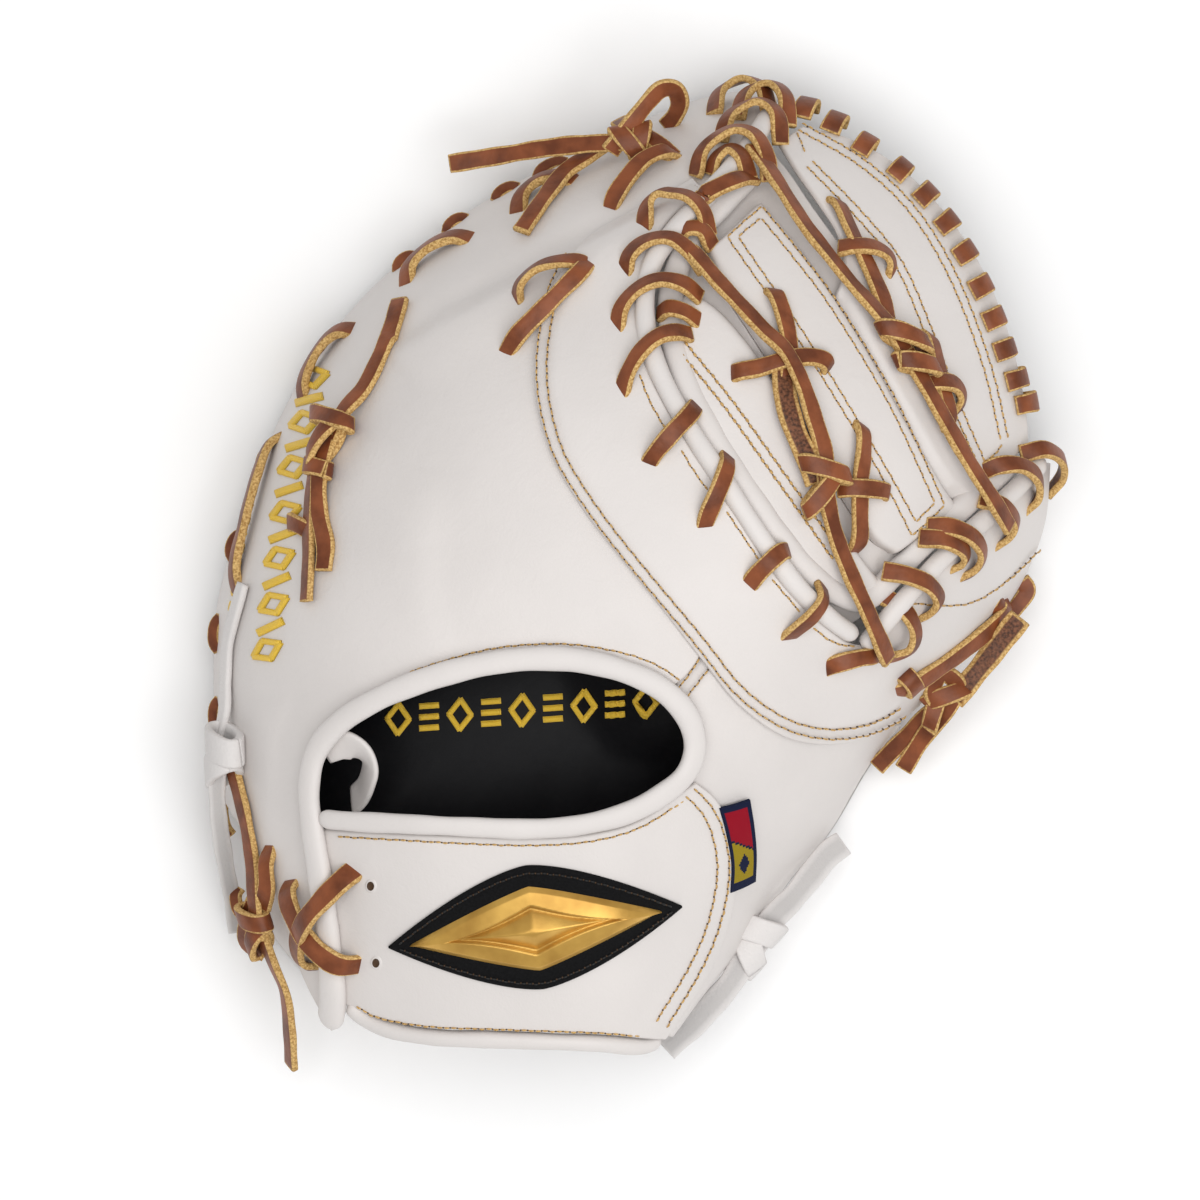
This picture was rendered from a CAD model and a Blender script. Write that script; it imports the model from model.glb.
"""A first baseman's mitt of white leather with brown rawhide lacing, lying palm down.

It is seen from straight above, on the back of the hand. Lengths are in metres unless a name
says otherwise. The leather is cut from a square pattern sheet of 300 mm: a place on it is given
in thousandths of its side, from its left edge and down from its top edge.
"""

import math

import bpy
import numpy as np
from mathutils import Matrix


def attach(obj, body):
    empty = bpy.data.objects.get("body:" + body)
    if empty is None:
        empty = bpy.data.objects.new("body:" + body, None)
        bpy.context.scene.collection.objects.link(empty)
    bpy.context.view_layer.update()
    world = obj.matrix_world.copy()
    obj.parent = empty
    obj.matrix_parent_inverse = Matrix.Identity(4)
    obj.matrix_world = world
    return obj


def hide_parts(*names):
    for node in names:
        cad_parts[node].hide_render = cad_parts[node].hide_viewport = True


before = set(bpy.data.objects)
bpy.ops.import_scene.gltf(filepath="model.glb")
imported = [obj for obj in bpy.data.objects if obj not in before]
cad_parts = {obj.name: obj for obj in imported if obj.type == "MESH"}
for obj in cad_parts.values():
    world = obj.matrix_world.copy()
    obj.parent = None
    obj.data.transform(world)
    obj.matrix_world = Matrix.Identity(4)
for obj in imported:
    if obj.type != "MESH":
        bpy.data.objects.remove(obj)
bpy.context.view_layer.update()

# Camera, floor and light. The camera looks straight down on the back of the hand through a long
# lens, over a plain white floor, with a wide soft light above and a weaker one from the lower right.
UNIT = 0.0003
DOME_MIDDLE = np.array((600.0, 600.0))
DOME_AT = np.array((-0.00845, -0.008812))
CAMERA_DISTANCE = 6.0
VIEW_WIDTH = 0.36
VIEW_LEVEL = 0.06
SENSOR = 36.0

camera_data = bpy.data.cameras.new("camera")
camera_data.sensor_width = SENSOR
camera_data.lens = SENSOR * CAMERA_DISTANCE / VIEW_WIDTH
camera_data.clip_end = 50.0
camera = bpy.data.objects.new("camera", camera_data)
camera.location = (DOME_AT[0], DOME_AT[1], VIEW_LEVEL + CAMERA_DISTANCE)
bpy.context.collection.objects.link(camera)
bpy.context.scene.camera = camera


def feed(node, values):
    """Set a node's inputs by name: a socket is linked in, anything else is a constant."""
    for key, value in values.items():
        if isinstance(value, bpy.types.NodeSocket):
            node.id_data.links.new(value, node.inputs[key])
        else:
            node.inputs[key].default_value = value
    return node


def new_look(name, values):
    """A material with values on its surface shader, and what adds a node of a kind to it."""
    look = bpy.data.materials.new(name)
    look.use_nodes = True
    nodes = look.node_tree.nodes
    shader = feed(nodes["Principled BSDF"], values)
    return look, shader, lambda kind, inputs: feed(nodes.new("ShaderNode" + kind), inputs)


FLOOR_REACH = 4.0
floor_corners = [(x * FLOOR_REACH, y * FLOOR_REACH, 0) for x, y in ((-1, -1), (1, -1), (1, 1), (-1, 1))]
floor_mesh = bpy.data.meshes.new("floor")
floor_mesh.from_pydata(floor_corners, [], [(0, 1, 2, 3)])
floor_paint, _, _ = new_look("floor_paint", {"Base Color": (0.97, 0.97, 0.97, 1), "Roughness": 0.9})
floor_mesh.materials.append(floor_paint)
floor = bpy.data.objects.new("floor", floor_mesh)
bpy.context.collection.objects.link(floor)


def soft_light(name, place, aim, size, power):
    """A square area light of a size and power, turned from its place towards a point."""
    light = bpy.data.lights.new(name, "AREA")
    light.size = size
    light.energy = power
    holder = bpy.data.objects.new(name, light)
    holder.location = place
    way = np.array(aim, float) - np.array(place, float)
    flat = math.hypot(way[0], way[1])
    holder.rotation_euler = (math.atan2(flat, -way[2]), 0, math.atan2(way[1], way[0]) - math.pi / 2)
    bpy.context.collection.objects.link(holder)


soft_light("overhead", (0.15, -0.1, 2.4), (0, 0, 0), 2.4, 39)
soft_light("side", (0.95, -0.85, 1.9), (0, 0, 0.05), 1.2, 9)
SKY_STRENGTH = 0.48
sky = bpy.data.worlds.new("sky")
sky.use_nodes = True
feed(sky.node_tree.nodes["Background"], {"Color": (1, 1, 1, 1), "Strength": SKY_STRENGTH})
bpy.context.scene.world = sky
bpy.context.scene.view_settings.view_transform = "Standard"

# The back of the fingers: one hide of white steer leather, shaped over a rounded dome, with a
# fold where the finger stalls end, and a tongue down the little finger's side to the heel.
MM = 0.001
HEM, CROWN = 0.005, 0.100
SQUARENESS, FULLNESS = 2.4, 1.7
LEATHER = 0.0022
# How far the dome's foot reaches from its middle, at even bearings from the right, anticlockwise.
BEARING_STEP = 15
FOOT_REACH = np.array([
    414, 478, 520, 556, 570, 532, 463, 421, 397, 382, 372, 369,
    386, 403, 440, 500, 560, 600, 585, 440, 353, 330, 320, 348,
])
# Folds: how high the ridge is in mm, how far it falls off to the left and right, and its line.
FOLDS = [
    (3.9, 40, 8, [(700, 198), (640, 226), (570, 260), (500, 295), (440, 326), (392, 360)]),
    (-3.4, 6, 15, [(700, 185), (640, 212), (570, 246), (500, 281), (440, 312), (392, 345)]),
    (2.0, 40, 24, [(262, 700), (272, 770), (274, 850)]),
    (-1.0, 14, 10, [(300, 690), (282, 740), (278, 800), (284, 860)]),
    (1.2, 22, 34, [(430, 470), (415, 540), (420, 610), (440, 655)]),
]


def catmull(values, at):
    """A smooth line through rows of values, read at places counted in rows: the cubic through
    two rows whose slopes are half the step between their neighbours."""
    values = np.asarray(values, float)
    row = np.clip(np.floor(at).astype(int), 0, len(values) - 2)
    t = (at - row)[:, None]
    padded = np.concatenate([2 * values[:1] - values[1:2], values, 2 * values[-1:] - values[-2:-1]])
    a, b, c, d = (padded[row + k] for k in range(4))
    return b + 0.5 * t * (c - a + t * (2 * a - 5 * b + 4 * c - d + t * (3 * (b - c) + d - a)))


def on_circle(turn):
    """Places on a circle of radius 1 at turns in radians."""
    return np.stack([np.cos(turn), np.sin(turn)], axis=-1)


def unit(vectors):
    """Vectors scaled to a length of 1."""
    return vectors / (np.linalg.norm(vectors, axis=-1, keepdims=True) + 1e-12)


# The reach at every quarter of a degree, smoothed under a bell of a few degrees.
reach_bearings = np.linspace(0, 360, 1441)
wrapped = np.concatenate([FOOT_REACH[-3:], FOOT_REACH, FOOT_REACH[:4]])[:, None]
reach_table = catmull(wrapped, reach_bearings / BEARING_STEP + 3)[:, 0]
bell = np.exp(-np.linspace(-2.5, 2.5, 61) ** 2)
padded_reach = np.concatenate([reach_table[-31:-1], reach_table, reach_table[1:31]])
reach_table = np.convolve(padded_reach, bell / bell.sum(), "valid")


def foot_reach(offset):
    """How far the foot reaches on the bearing of each offset from the dome's middle."""
    bearing = np.degrees(np.arctan2(offset[..., 1], offset[..., 0]))
    return np.interp(bearing, reach_bearings, reach_table, period=360)


def share_of(offset):
    """An offset's length as a share of the foot's reach on its bearing."""
    return np.hypot(offset[..., 0], offset[..., 1]) / foot_reach(offset)


def line_distance(places, line):
    """Distance from each place to a line of places, which side it is on, and how far along the
    line the nearest point lies, from 0 to 1."""
    line = np.asarray(line, float)
    best = np.full(places.shape[:-1], np.inf)
    side = np.ones(places.shape[:-1])
    along = np.zeros(places.shape[:-1])
    for i, (start, end) in enumerate(zip(line[:-1], line[1:])):
        run = end - start
        off = places - start
        t = np.clip((off @ run) / (run @ run), 0, 1)
        rest = off - t[..., None] * run
        gap = np.hypot(rest[..., 0], rest[..., 1])
        nearer = gap < best
        best = np.where(nearer, gap, best)
        side = np.where(nearer, np.sign(run[0] * off[..., 1] - run[1] * off[..., 0]), side)
        along = np.where(nearer, (i + t) / (len(line) - 1), along)
    return best, side, along


def turned_up(places):
    """Offsets from the dome's middle, with up positive, of places on the sheet."""
    return (np.asarray(places, float) - DOME_MIDDLE) * (1, -1)


def fold_height(offset):
    """What the folds add: a bell across each line that fades towards its two ends."""
    total = np.zeros(offset.shape[:-1])
    for height, left, right, line in FOLDS:
        gap, side, along = line_distance(offset, turned_up(line))
        spread = np.where(side > 0, left, right)
        total += height * MM * np.exp(-((gap / spread) ** 2)) * np.sqrt(np.sin(math.pi * along))
    return total


def back_face(places, lift=0.0):
    """Points lifted off the back's dome, and the dome's normals there. Its height follows
    share ** squareness + rise ** fullness = 1, with the folds on top."""
    offset = turned_up(places)
    share = share_of(offset)
    offset = offset / np.maximum(1, share)[..., None]
    share = np.minimum(1, share)
    rise = (1 - share**SQUARENESS) ** (1 / FULLNESS)
    fade = np.minimum(1, 4 * rise)
    height = HEM + (CROWN - HEM) * rise + fold_height(offset) * fade
    side = SQUARENESS * share ** (SQUARENESS - 1)
    up = FULLNESS * rise ** (FULLNESS - 1) / (CROWN - HEM)
    normal = np.empty(offset.shape[:-1] + (3,))
    for axis, step in enumerate(np.eye(2) * 0.5):
        lean = (share_of(offset + step) - share_of(offset - step)) / UNIT
        slope = (fold_height(offset + step) - fold_height(offset - step)) / UNIT
        normal[..., axis] = side * lean - up * slope * fade
    normal[..., 2] = up
    normal = unit(normal)
    flat = offset * UNIT + DOME_AT
    points = np.concatenate([flat, height[..., None]], axis=-1)
    return points + normal * np.asarray(lift)[..., None], normal


def put_mesh(name, points, quads, looks, uv=None, marks=None, node=None, which=None):
    """A piece from its points and four-sided faces, with a UV place and marks for each point. It
    rides on the mitt, and stands for a CAD node where one is named."""
    mesh = bpy.data.meshes.new(name)
    mesh.vertices.add(len(points))
    mesh.vertices.foreach_set("co", np.ascontiguousarray(points, np.float32).ravel())
    mesh.loops.add(quads.size)
    mesh.loops.foreach_set("vertex_index", np.ascontiguousarray(quads, np.int32).ravel())
    mesh.polygons.add(len(quads))
    mesh.polygons.foreach_set("loop_start", np.arange(0, quads.size, 4, dtype=np.int32))
    mesh.polygons.foreach_set("use_smooth", np.ones(len(quads), bool))
    if which is not None:
        mesh.polygons.foreach_set("material_index", np.ascontiguousarray(which, np.int32))
    if uv is not None:
        layer = mesh.uv_layers.new(name="UVMap")
        layer.data.foreach_set("uv", np.ascontiguousarray(uv[quads.ravel()], np.float32).ravel())
    for mark, values in (marks or {}).items():
        layer = mesh.attributes.new(mark, "FLOAT", "POINT")
        layer.data.foreach_set("value", np.ascontiguousarray(values, np.float32))
    mesh.update(calc_edges=True)
    mesh.validate()
    for look in looks:
        mesh.materials.append(look)
    piece = bpy.data.objects.new(name, mesh)
    bpy.context.collection.objects.link(piece)
    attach(piece, "root")
    if node:
        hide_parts(node)
    return piece


def ramp(add, factor, low, high, start=0.0, end=1.0):
    """A blend of two shades, between two values of a factor."""
    tone = add("ValToRGB", {"Fac": factor})
    for stop, at, shade in zip(tone.color_ramp.elements, (start, end), (low, high)):
        stop.position = at
        stop.color = (*shade, 1)
    return tone.outputs["Color"]


def blend(add, factor, first, second):
    """One shade where a factor is 0 and another where it is 1."""
    mix = add("Mix", {})
    mix.data_type = "RGBA"
    return feed(mix, {0: factor, 6: first, 7: second}).outputs[2]


def marked(add, name):
    """The value of a mark that the mesh carries."""
    mark = add("Attribute", {})
    mark.attribute_name = name
    return mark.outputs["Fac"]


def place_in(add, space):
    """Where a point lies in the object's own space, or on its UV map."""
    return add("TexCoord", {}).outputs[space]


def noise(add, scale, **values):
    """Noise in the object's own space."""
    return add("TexNoise", {"Vector": place_in(add, "Object"), "Scale": scale, **values}).outputs["Fac"]


def bumped(add, height, strength, distance, **under):
    """A bump from a height, on top of another where one is given."""
    values = {"Height": height, "Strength": strength, "Distance": distance, **under}
    return add("Bump", values).outputs["Normal"]


def leather_look(
    name, shade, grain=0.10, rough=0.5, wear=(0.62, 0.575, 0.55), crease=0.35, worn="rim", shine=0.35
):
    """Full-grain leather: a base shade that drifts a little between the hide's parts, with fine
    pebbled grain, thin creases, and a duller cut edge where the mark named worn is 1."""
    look, shader, add = new_look(name, {"Specular IOR Level": shine})
    tone = ramp(add, noise(add, 26, Detail=3), [0.955 * c for c in shade], shade, 0.35, 0.65)
    pebbles = add("TexVoronoi", {"Vector": place_in(add, "Object"), "Scale": 1300}).outputs["Distance"]
    creases = noise(add, 170, Detail=6, Roughness=0.62, Distortion=0.9)
    gloss = add("MapRange", {"Value": creases, "To Min": rough - 0.06, "To Max": rough + 0.08})
    feed(shader, {
        "Base Color": blend(add, marked(add, worn), tone, (*wear, 1)),
        "Normal": bumped(add, creases, crease, 0.0005, Normal=bumped(add, pebbles, grain, 0.0003)),
        "Roughness": gloss.outputs["Result"],
    })
    return look


def grid_quads(rows, columns, start=0, around=False):
    """Four-sided faces over a grid of points in rows; around joins its last column to its first."""
    index = start + np.arange(rows * columns).reshape(rows, columns)
    if around:
        index = np.concatenate([index, index[:, :1]], axis=1)
    corners = [index[:-1, :-1], index[1:, :-1], index[1:, 1:], index[:-1, 1:]]
    return np.stack(corners, axis=-1).reshape(-1, 4)


def length_along(points, axis=0):
    """How far each point of a line or a grid lies from the first, along one of its axes."""
    steps = np.diff(points, axis=axis, prepend=points.take([0], axis))
    return np.cumsum(np.linalg.norm(steps, axis=-1), axis=axis)


def inward(points):
    """How far each point of a grid lies from its nearest border, along the grid's lines."""
    left, top = length_along(points, 1), length_along(points, 0)
    return np.minimum.reduce([left, left[:, -1:] - left, top, top[-1:] - top])


def closed_sheet(outer, inner):
    """Points and faces of two faces over one grid, closed by a band round the border and wound
    so that they look outwards."""
    rows, columns = outer.shape[:2]
    size = rows * columns
    index = np.arange(size).reshape(rows, columns)
    border = np.concatenate([index[0, :-1], index[:-1, -1], index[-1, :0:-1], index[:0:-1, 0]])
    ring = np.roll(border, -1)
    band = np.stack([border, border + size, ring + size, ring], axis=-1)
    quads = np.concatenate([grid_quads(rows, columns), grid_quads(rows, columns, size)[:, ::-1], band])
    row, column = rows // 2, columns // 2
    down, across = outer[row + 1, column] - outer[row, column], outer[row, column + 1] - outer[row, column]
    if np.cross(down, across) @ (outer - inner)[row, column] < 0:
        quads = quads[:, ::-1]
    return np.concatenate([outer.reshape(-1, 3), inner.reshape(-1, 3)]), quads


def shell(name, outer, inner, look, node=None, slot="white_leather", rim=None):
    """A piece with an outer and an inner face, with the mark rim where one is given."""
    rows, columns = outer.shape[:2]
    points, quads = closed_sheet(outer, inner)
    uv = np.stack(np.meshgrid(np.linspace(0, 1, columns), np.linspace(0, 1, rows)), axis=-1).reshape(-1, 2)
    rim = np.zeros(rows * columns) if rim is None else rim.ravel()
    marks = {"rim": np.concatenate([rim, rim])}
    return put_mesh(name, points, quads, [look], np.concatenate([uv, uv]), marks, node)


def hide(name, places, lift, thickness, relief=0.0, node=None, soft_edge=0.46):
    """A piece of white leather over a grid of places on the dome: its outer and inner face round
    off together at the edges, over about half the thickness."""
    seat, normal = back_face(places)
    depth = inward(seat)
    bend = soft_edge * thickness
    near = bend - np.minimum(depth, bend)
    drop = bend - np.sqrt(np.maximum(0, bend**2 - near**2))
    outer = seat + normal * (lift + relief - drop)[..., None]
    inner = seat + normal * (lift + relief - thickness + drop)[..., None]
    rim = np.clip(1.2 - depth / (0.35 * thickness), 0, 1)
    return shell(name, outer, inner, white_leather, node, rim=rim)


def eased(count):
    """Shares from 0 to 1, crowded towards both ends as a cosine does."""
    return (1 - np.cos(np.linspace(0, math.pi, count))) / 2


def ruled(outer, inner, rows, columns):
    """Places ruled from a smooth outer edge to a smooth inner one."""
    at = eased(rows) * (len(outer) - 1)
    a, b = catmull(outer, at), catmull(inner, at)
    t = eased(columns)[None, :, None]
    return a[:, None] * (1 - t) + b[:, None] * t


def smooth_step(value, low, high):
    """0 below low and 1 above high, with a smooth climb between."""
    t = np.clip((value - low) / (high - low), 0, 1)
    return t * t * (3 - 2 * t)


def read_at(at, where, rows):
    """Rows of values, each standing somewhere along a line, read at places along that line."""
    return np.stack([np.interp(at, where, column) for column in np.transpose(rows)], axis=-1)


def even_line(line, pitch):
    """Places at an even pitch along a smooth line through a few places."""
    fine = catmull(line, np.linspace(0, len(line) - 1, 40 * len(line)))
    run = length_along(fine)
    return read_at(np.linspace(0, run[-1], max(2, int(round(run[-1] / pitch)) + 1)), run, fine)


white_leather = leather_look("white_leather", (0.715, 0.675, 0.652))
# The outline: the bearing and share of the foot's reach on its outer edge, and the place across.
FINGER_BACK = np.array([
    (238, 0.925, 338, 1014), (232, 0.915, 339, 968), (226, 0.905, 334, 912), (220, 0.905, 327, 865),
    (213, 0.95, 319, 820), (206, 1, 315, 780), (198, 1, 326, 745), (190, 1, 352, 715), (182, 1, 396, 689),
    (174, 1, 455, 669), (167, 1, 522, 659), (160, 1, 600, 664), (156, 1, 650, 676), (153, 1, 676, 684),
    (150, 1, 702, 652), (147, 1, 690, 618), (143, 1, 652, 562), (137, 1, 618, 505), (130, 1, 592, 450),
    (123, 1, 578, 395), (116, 1, 578, 340), (109, 1, 592, 292), (102, 1, 624, 254), (95, 1, 666, 222),
    (88, 1, 704, 194), (81, 1, 734, 163), (75, 1, 752, 134), (70.5, 0.985, 766, 116),
])


def rim_places(bearings, share):
    """Places on the sheet on given bearings from the dome's middle, at a share of its reach."""
    way = on_circle(np.radians(bearings))
    return DOME_MIDDLE + (1, -1) * way * (foot_reach(way) * share)[..., None]


def near_line(places, line, width):
    """1 on a line of places, falling smoothly to 0 at a width from it."""
    return smooth_step(1 - line_distance(places, line)[0] / width, 0, 1)


finger_edge = rim_places(FINGER_BACK[:, 0], FINGER_BACK[:, 1])
finger_places = ruled(finger_edge, FINGER_BACK[:, 2:], rows=330, columns=110)
hide("finger_back_hide", finger_places, 0.0, LEATHER, node="finger_back")

# The thumb's back: a hide tucked under the web-side panel and under the strap's sewn end.
THUMB_TOP = [(697, 648), (744, 696), (800, 726), (856, 730), (912, 725)]
THUMB_OUTER = [
    (912, 725), (882, 790), (850, 836), (812, 880), (772, 925), (735, 968), (705, 1004), (678, 1042),
]
THUMB_SEAM = [
    (697, 648), (678, 684), (686, 716), (690, 745), (682, 778), (700, 800), (714, 826), (720, 870),
    (711, 922), (692, 970), (664, 1036),
]
THUMB_BOTTOM = [(664, 1036), (678, 1042)]


def patch_places(top, bottom, left, right, rows, columns):
    """Places filled in between four edges that meet at their corners: what the two pairs of edges
    give together, less what the corners alone give."""

    def edge(line, count):
        fine = even_line(line, 1.0)
        return read_at(eased(count) * (len(fine) - 1), np.arange(len(fine)), fine)

    t, b = edge(top, columns)[None], edge(bottom, columns)[None]
    l, r = edge(left, rows)[:, None], edge(right, rows)[:, None]
    u, v = eased(columns)[None, :, None], eased(rows)[:, None, None]
    corners = (t[:, :1] * (1 - u) + t[:, -1:] * u) * (1 - v) + (b[:, :1] * (1 - u) + b[:, -1:] * u) * v
    return t * (1 - v) + b * v + l * (1 - u) + r * u - corners


thumb_places = patch_places(THUMB_TOP, THUMB_BOTTOM, THUMB_SEAM, THUMB_OUTER, rows=130, columns=80)
# Its sewn side is pulled down, and its outer side swells before it turns in under itself: how far
# each goes, in metres, from which line, and how wide.
THUMB_LIFT = -0.0004
TUCKS = [
    (-0.0006, THUMB_SEAM, 26), (-0.0018, [(697, 648), (684, 676)], 34),
    (0.0004, THUMB_OUTER, 30), (-0.0014, THUMB_OUTER, 8),
]
tucked = sum(depth * near_line(thumb_places, line, width) for depth, line, width in TUCKS)
hide("thumb_back_hide", thumb_places, THUMB_LIFT, LEATHER, relief=tucked, node="thumb_back")

# The web-side panel: a second hide sewn over the finger back and the thumb's back by a double
# seam, from the fingertip round the web's crotch to the thumb's tip.
PANEL_SEAM = [
    (694, 180), (638, 211), (590, 241), (560, 275), (540, 330), (536, 390), (552, 455), (590, 520),
    (640, 582), (690, 645), (730, 697), (775, 732), (825, 744), (880, 730), (913, 707), (955, 665),
    (998, 615), (1026, 570), (1046, 512), (1049, 462),
]
PANEL_CROTCH = [
    (704, 187), (666, 213), (644, 247), (636, 285), (630, 328), (638, 375), (660, 422), (688, 467),
    (722, 517), (753, 566), (784, 604), (815, 632), (846, 652), (876, 648), (900, 620), (928, 590),
    (960, 556), (1000, 518), (1028, 486), (1043, 468),
]
PANEL_LIFT = 0.0027


def sideways(way):
    """Directions a quarter turn to the left of others."""
    return np.stack([way[:, 1], -way[:, 0]], axis=-1)


def offset_line(line, gap):
    """A line of places moved sideways, to its left for a positive gap."""
    line = even_line(line, 4.0)
    return line + gap * sideways(unit(np.gradient(line, axis=0)))


# The panel's inner edge runs on under the welt, and its sewn edge is pared thin.
UNDER_WELT = 11.0
PARED, PARED_LIFT = 0.0009, 0.0012
panel_edges = [
    read_at(np.linspace(0, 1, 20), np.linspace(0, 1, len(line)), line)
    for line in (even_line(PANEL_SEAM, 3.0), offset_line(PANEL_CROTCH, UNDER_WELT))
]
panel_places = ruled(*panel_edges, rows=260, columns=60)
skived = near_line(panel_places, PANEL_SEAM, 22)
panel_lift = PANEL_LIFT - PARED_LIFT * skived
hide("index_panel_hide", panel_places, panel_lift, LEATHER - PARED * skived, node="index_panel")

# The wrist strap: thicker leather across the wrist, sewn in at the thumb and laced at the tongue.
STRAP_TOP = [(322, 828), (400, 832), (460, 834), (530, 836), (590, 832), (640, 818), (694, 781)]
STRAP_BOTTOM = [
    (342, 1006), (380, 1020), (430, 1029), (490, 1031), (550, 1033), (600, 1035), (632, 1038), (663, 1039),
]
STRAP_LEFT = [(322, 828), (325, 880), (332, 930), (337, 970), (342, 1006)]
STRAP_RIGHT = [(694, 781), (713, 797), (728, 825), (735, 870), (726, 924), (706, 973), (663, 1039)]
STRAP_LEATHER = 0.0028
STRAP_LIFT = 0.0002
strap_places = patch_places(STRAP_TOP, STRAP_BOTTOM, STRAP_LEFT, STRAP_RIGHT, rows=90, columns=150)
# Where the strap is sewn in at the thumb, it is pared and laps over the seam.
PARED_STRAP, LAP = 0.0013, 0.0011
lapped = near_line(strap_places, STRAP_RIGHT, 40)
strap_lift, strap_leather = STRAP_LIFT + LAP * lapped, STRAP_LEATHER - PARED_STRAP * lapped
hide("wrist_strap_hide", strap_places, strap_lift, strap_leather, node="wrist_strap")

# Rolled bindings and welts: a strip of thin leather turned over a cord and sewn down, round the
# hand opening, along the strap's lower edge, and down the web's crotch and the thumb.
OPENING_BINDING = [
    (334, 1024, 2.4, 1.15), (337, 1000, 2.4, 1.25), (336, 960, 2.5, 1.15), (331, 912, 2.6, 1.15),
    (325, 870, 2.6, 1.12), (318, 825, 2.6, 1.08), (315, 785, 2.6, 1.05), (323, 750), (346, 722), (382, 699),
    (424, 681), (472, 667), (522, 659), (572, 659), (622, 670), (662, 689), (685, 715), (691, 744),
    (681, 771), (656, 793, 2.6, 0.96), (622, 811, 2.6, 0.92), (580, 822, 2.6, 0.9), (530, 826, 2.6, 0.86),
    (470, 824, 2.6, 0.84), (400, 821, 2.6, 0.84), (350, 819, 2.6, 0.84), (324, 817, 2.2, 0.84),
]
STRAP_ROLL = [
    (346, 1006), (360, 1019), (385, 1031), (430, 1039), (490, 1041), (550, 1043), (600, 1045), (644, 1048),
    (662, 1043),
]
WEB_WELT = [
    (772, 118), (757, 142), (731, 176), (703, 206), (676, 236), (654, 268), (646, 315), (654, 362),
    (676, 410), (704, 456), (737, 506), (768, 553), (797, 590), (826, 616), (850, 632),
]
THUMB_WELT = [
    (856, 642), (870, 628), (889, 606), (915, 577), (946, 545), (980, 515), (1010, 486), (1036, 460),
]


def smoothed(values, width):
    """Rows of values averaged with their neighbours under a bell of a width in rows."""
    if width < 0.5:
        return values
    reach = int(3 * width) + 1
    weights = np.exp(-0.5 * (np.arange(-reach, reach + 1) / width) ** 2)
    weights /= weights.sum()
    padded = np.concatenate([np.repeat(values[:1], reach, 0), values, np.repeat(values[-1:], reach, 0)])
    return np.stack([np.convolve(padded[:, k], weights, "valid") for k in range(values.shape[1])], -1)


def through(rows, step, bank=0.0):
    """A smooth run through rows of place, lift in mm and bank in degrees, at an even step. The
    bank serves each row that gives none."""
    rows = np.array([tuple(row) + (bank,) * (4 - len(row)) for row in rows], float)
    scale = np.array((UNIT, UNIT, MM))
    gap = np.sqrt(np.linalg.norm(np.diff(rows[:, :3] * scale, axis=0), axis=1)) + 1e-6
    first, last = 2 * rows[:1] - rows[1:2], 2 * rows[-1:] - rows[-2:-1]
    full = np.concatenate([first, rows, last])
    gap = np.concatenate([gap[:1], gap, gap[-1:]])[:, None]
    a, b, c, d = full[:-3], full[1:-2], full[2:-1], full[3:]
    g0, g1, g2 = gap[:-2], gap[1:-1], gap[2:]
    out = ((b - a) / g0 - (c - a) / (g0 + g1) + (c - b) / g1) * g1
    into = ((c - b) / g1 - (d - b) / (g1 + g2) + (d - c) / g2) * g1
    t = np.linspace(0, 1, 24, endpoint=False)[None, :, None]
    b, c, out, into = (v[:, None] for v in (b, c, out, into))
    leaving, landing = (2 * t**3 - 3 * t**2 + 1) * b, (3 * t**2 - 2 * t**3) * c
    fine = leaving + (t**3 - 2 * t**2 + t) * out + landing + (t**3 - t**2) * into
    fine = np.concatenate([fine.reshape(-1, 4), rows[-1:]])
    run = length_along(fine[:, :3] * scale)
    return read_at(np.linspace(0, run[-1], max(6, int(round(run[-1] / step)) + 1)), run, fine)


def across_from(vectors, axes):
    """What is left of vectors across axes of length 1."""
    return vectors - (vectors * axes).sum(-1, keepdims=True) * axes


def frames_along(points, normals, bank):
    """The side and up axes of a strip along points: its side lies across the smoothed way of the
    run and in the leather, and both are rolled about the way by the bank, in degrees."""
    way = unit(np.gradient(points, axis=0))
    broad = across_from(smoothed(way, WAY_SPREAD / STEP), normals)
    side = unit(across_from(np.cross(broad, normals), way))
    up = np.cross(side, way)
    turn = np.radians(bank)[:, None]
    return side * np.cos(turn) + up * np.sin(turn), up * np.cos(turn) - side * np.sin(turn)


def tube_faces(rings, sides):
    """Faces of a tube through rings of points, capped by quads at both ends."""
    low = np.arange(sides // 2 - 1)
    cap = np.stack([low, low + 1, sides - 2 - low, sides - 1 - low], axis=-1)
    far = cap + (rings - 1) * sides
    return np.concatenate([grid_quads(rings, sides, around=True), cap, far[:, ::-1]])


def swept(section, points, side, up, swell=1.0):
    """A closed section carried along points, larger or smaller by the swell at each."""
    around = side[:, None] * section[None, :, :1] + up[:, None] * section[None, :, 1:2]
    return points[:, None] + around * np.broadcast_to(swell, len(points))[:, None, None]


def round_section(width, height, sides=16, power=1.0):
    """An oval section of a width and height, anticlockwise; a power under 1 squares it."""
    ring = on_circle(np.linspace(0, 2 * math.pi, sides, endpoint=False))
    return np.sign(ring) * abs(ring) ** power * (width / 2, height / 2)


STEP = 0.0008
WAY_SPREAD = 0.0022


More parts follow.
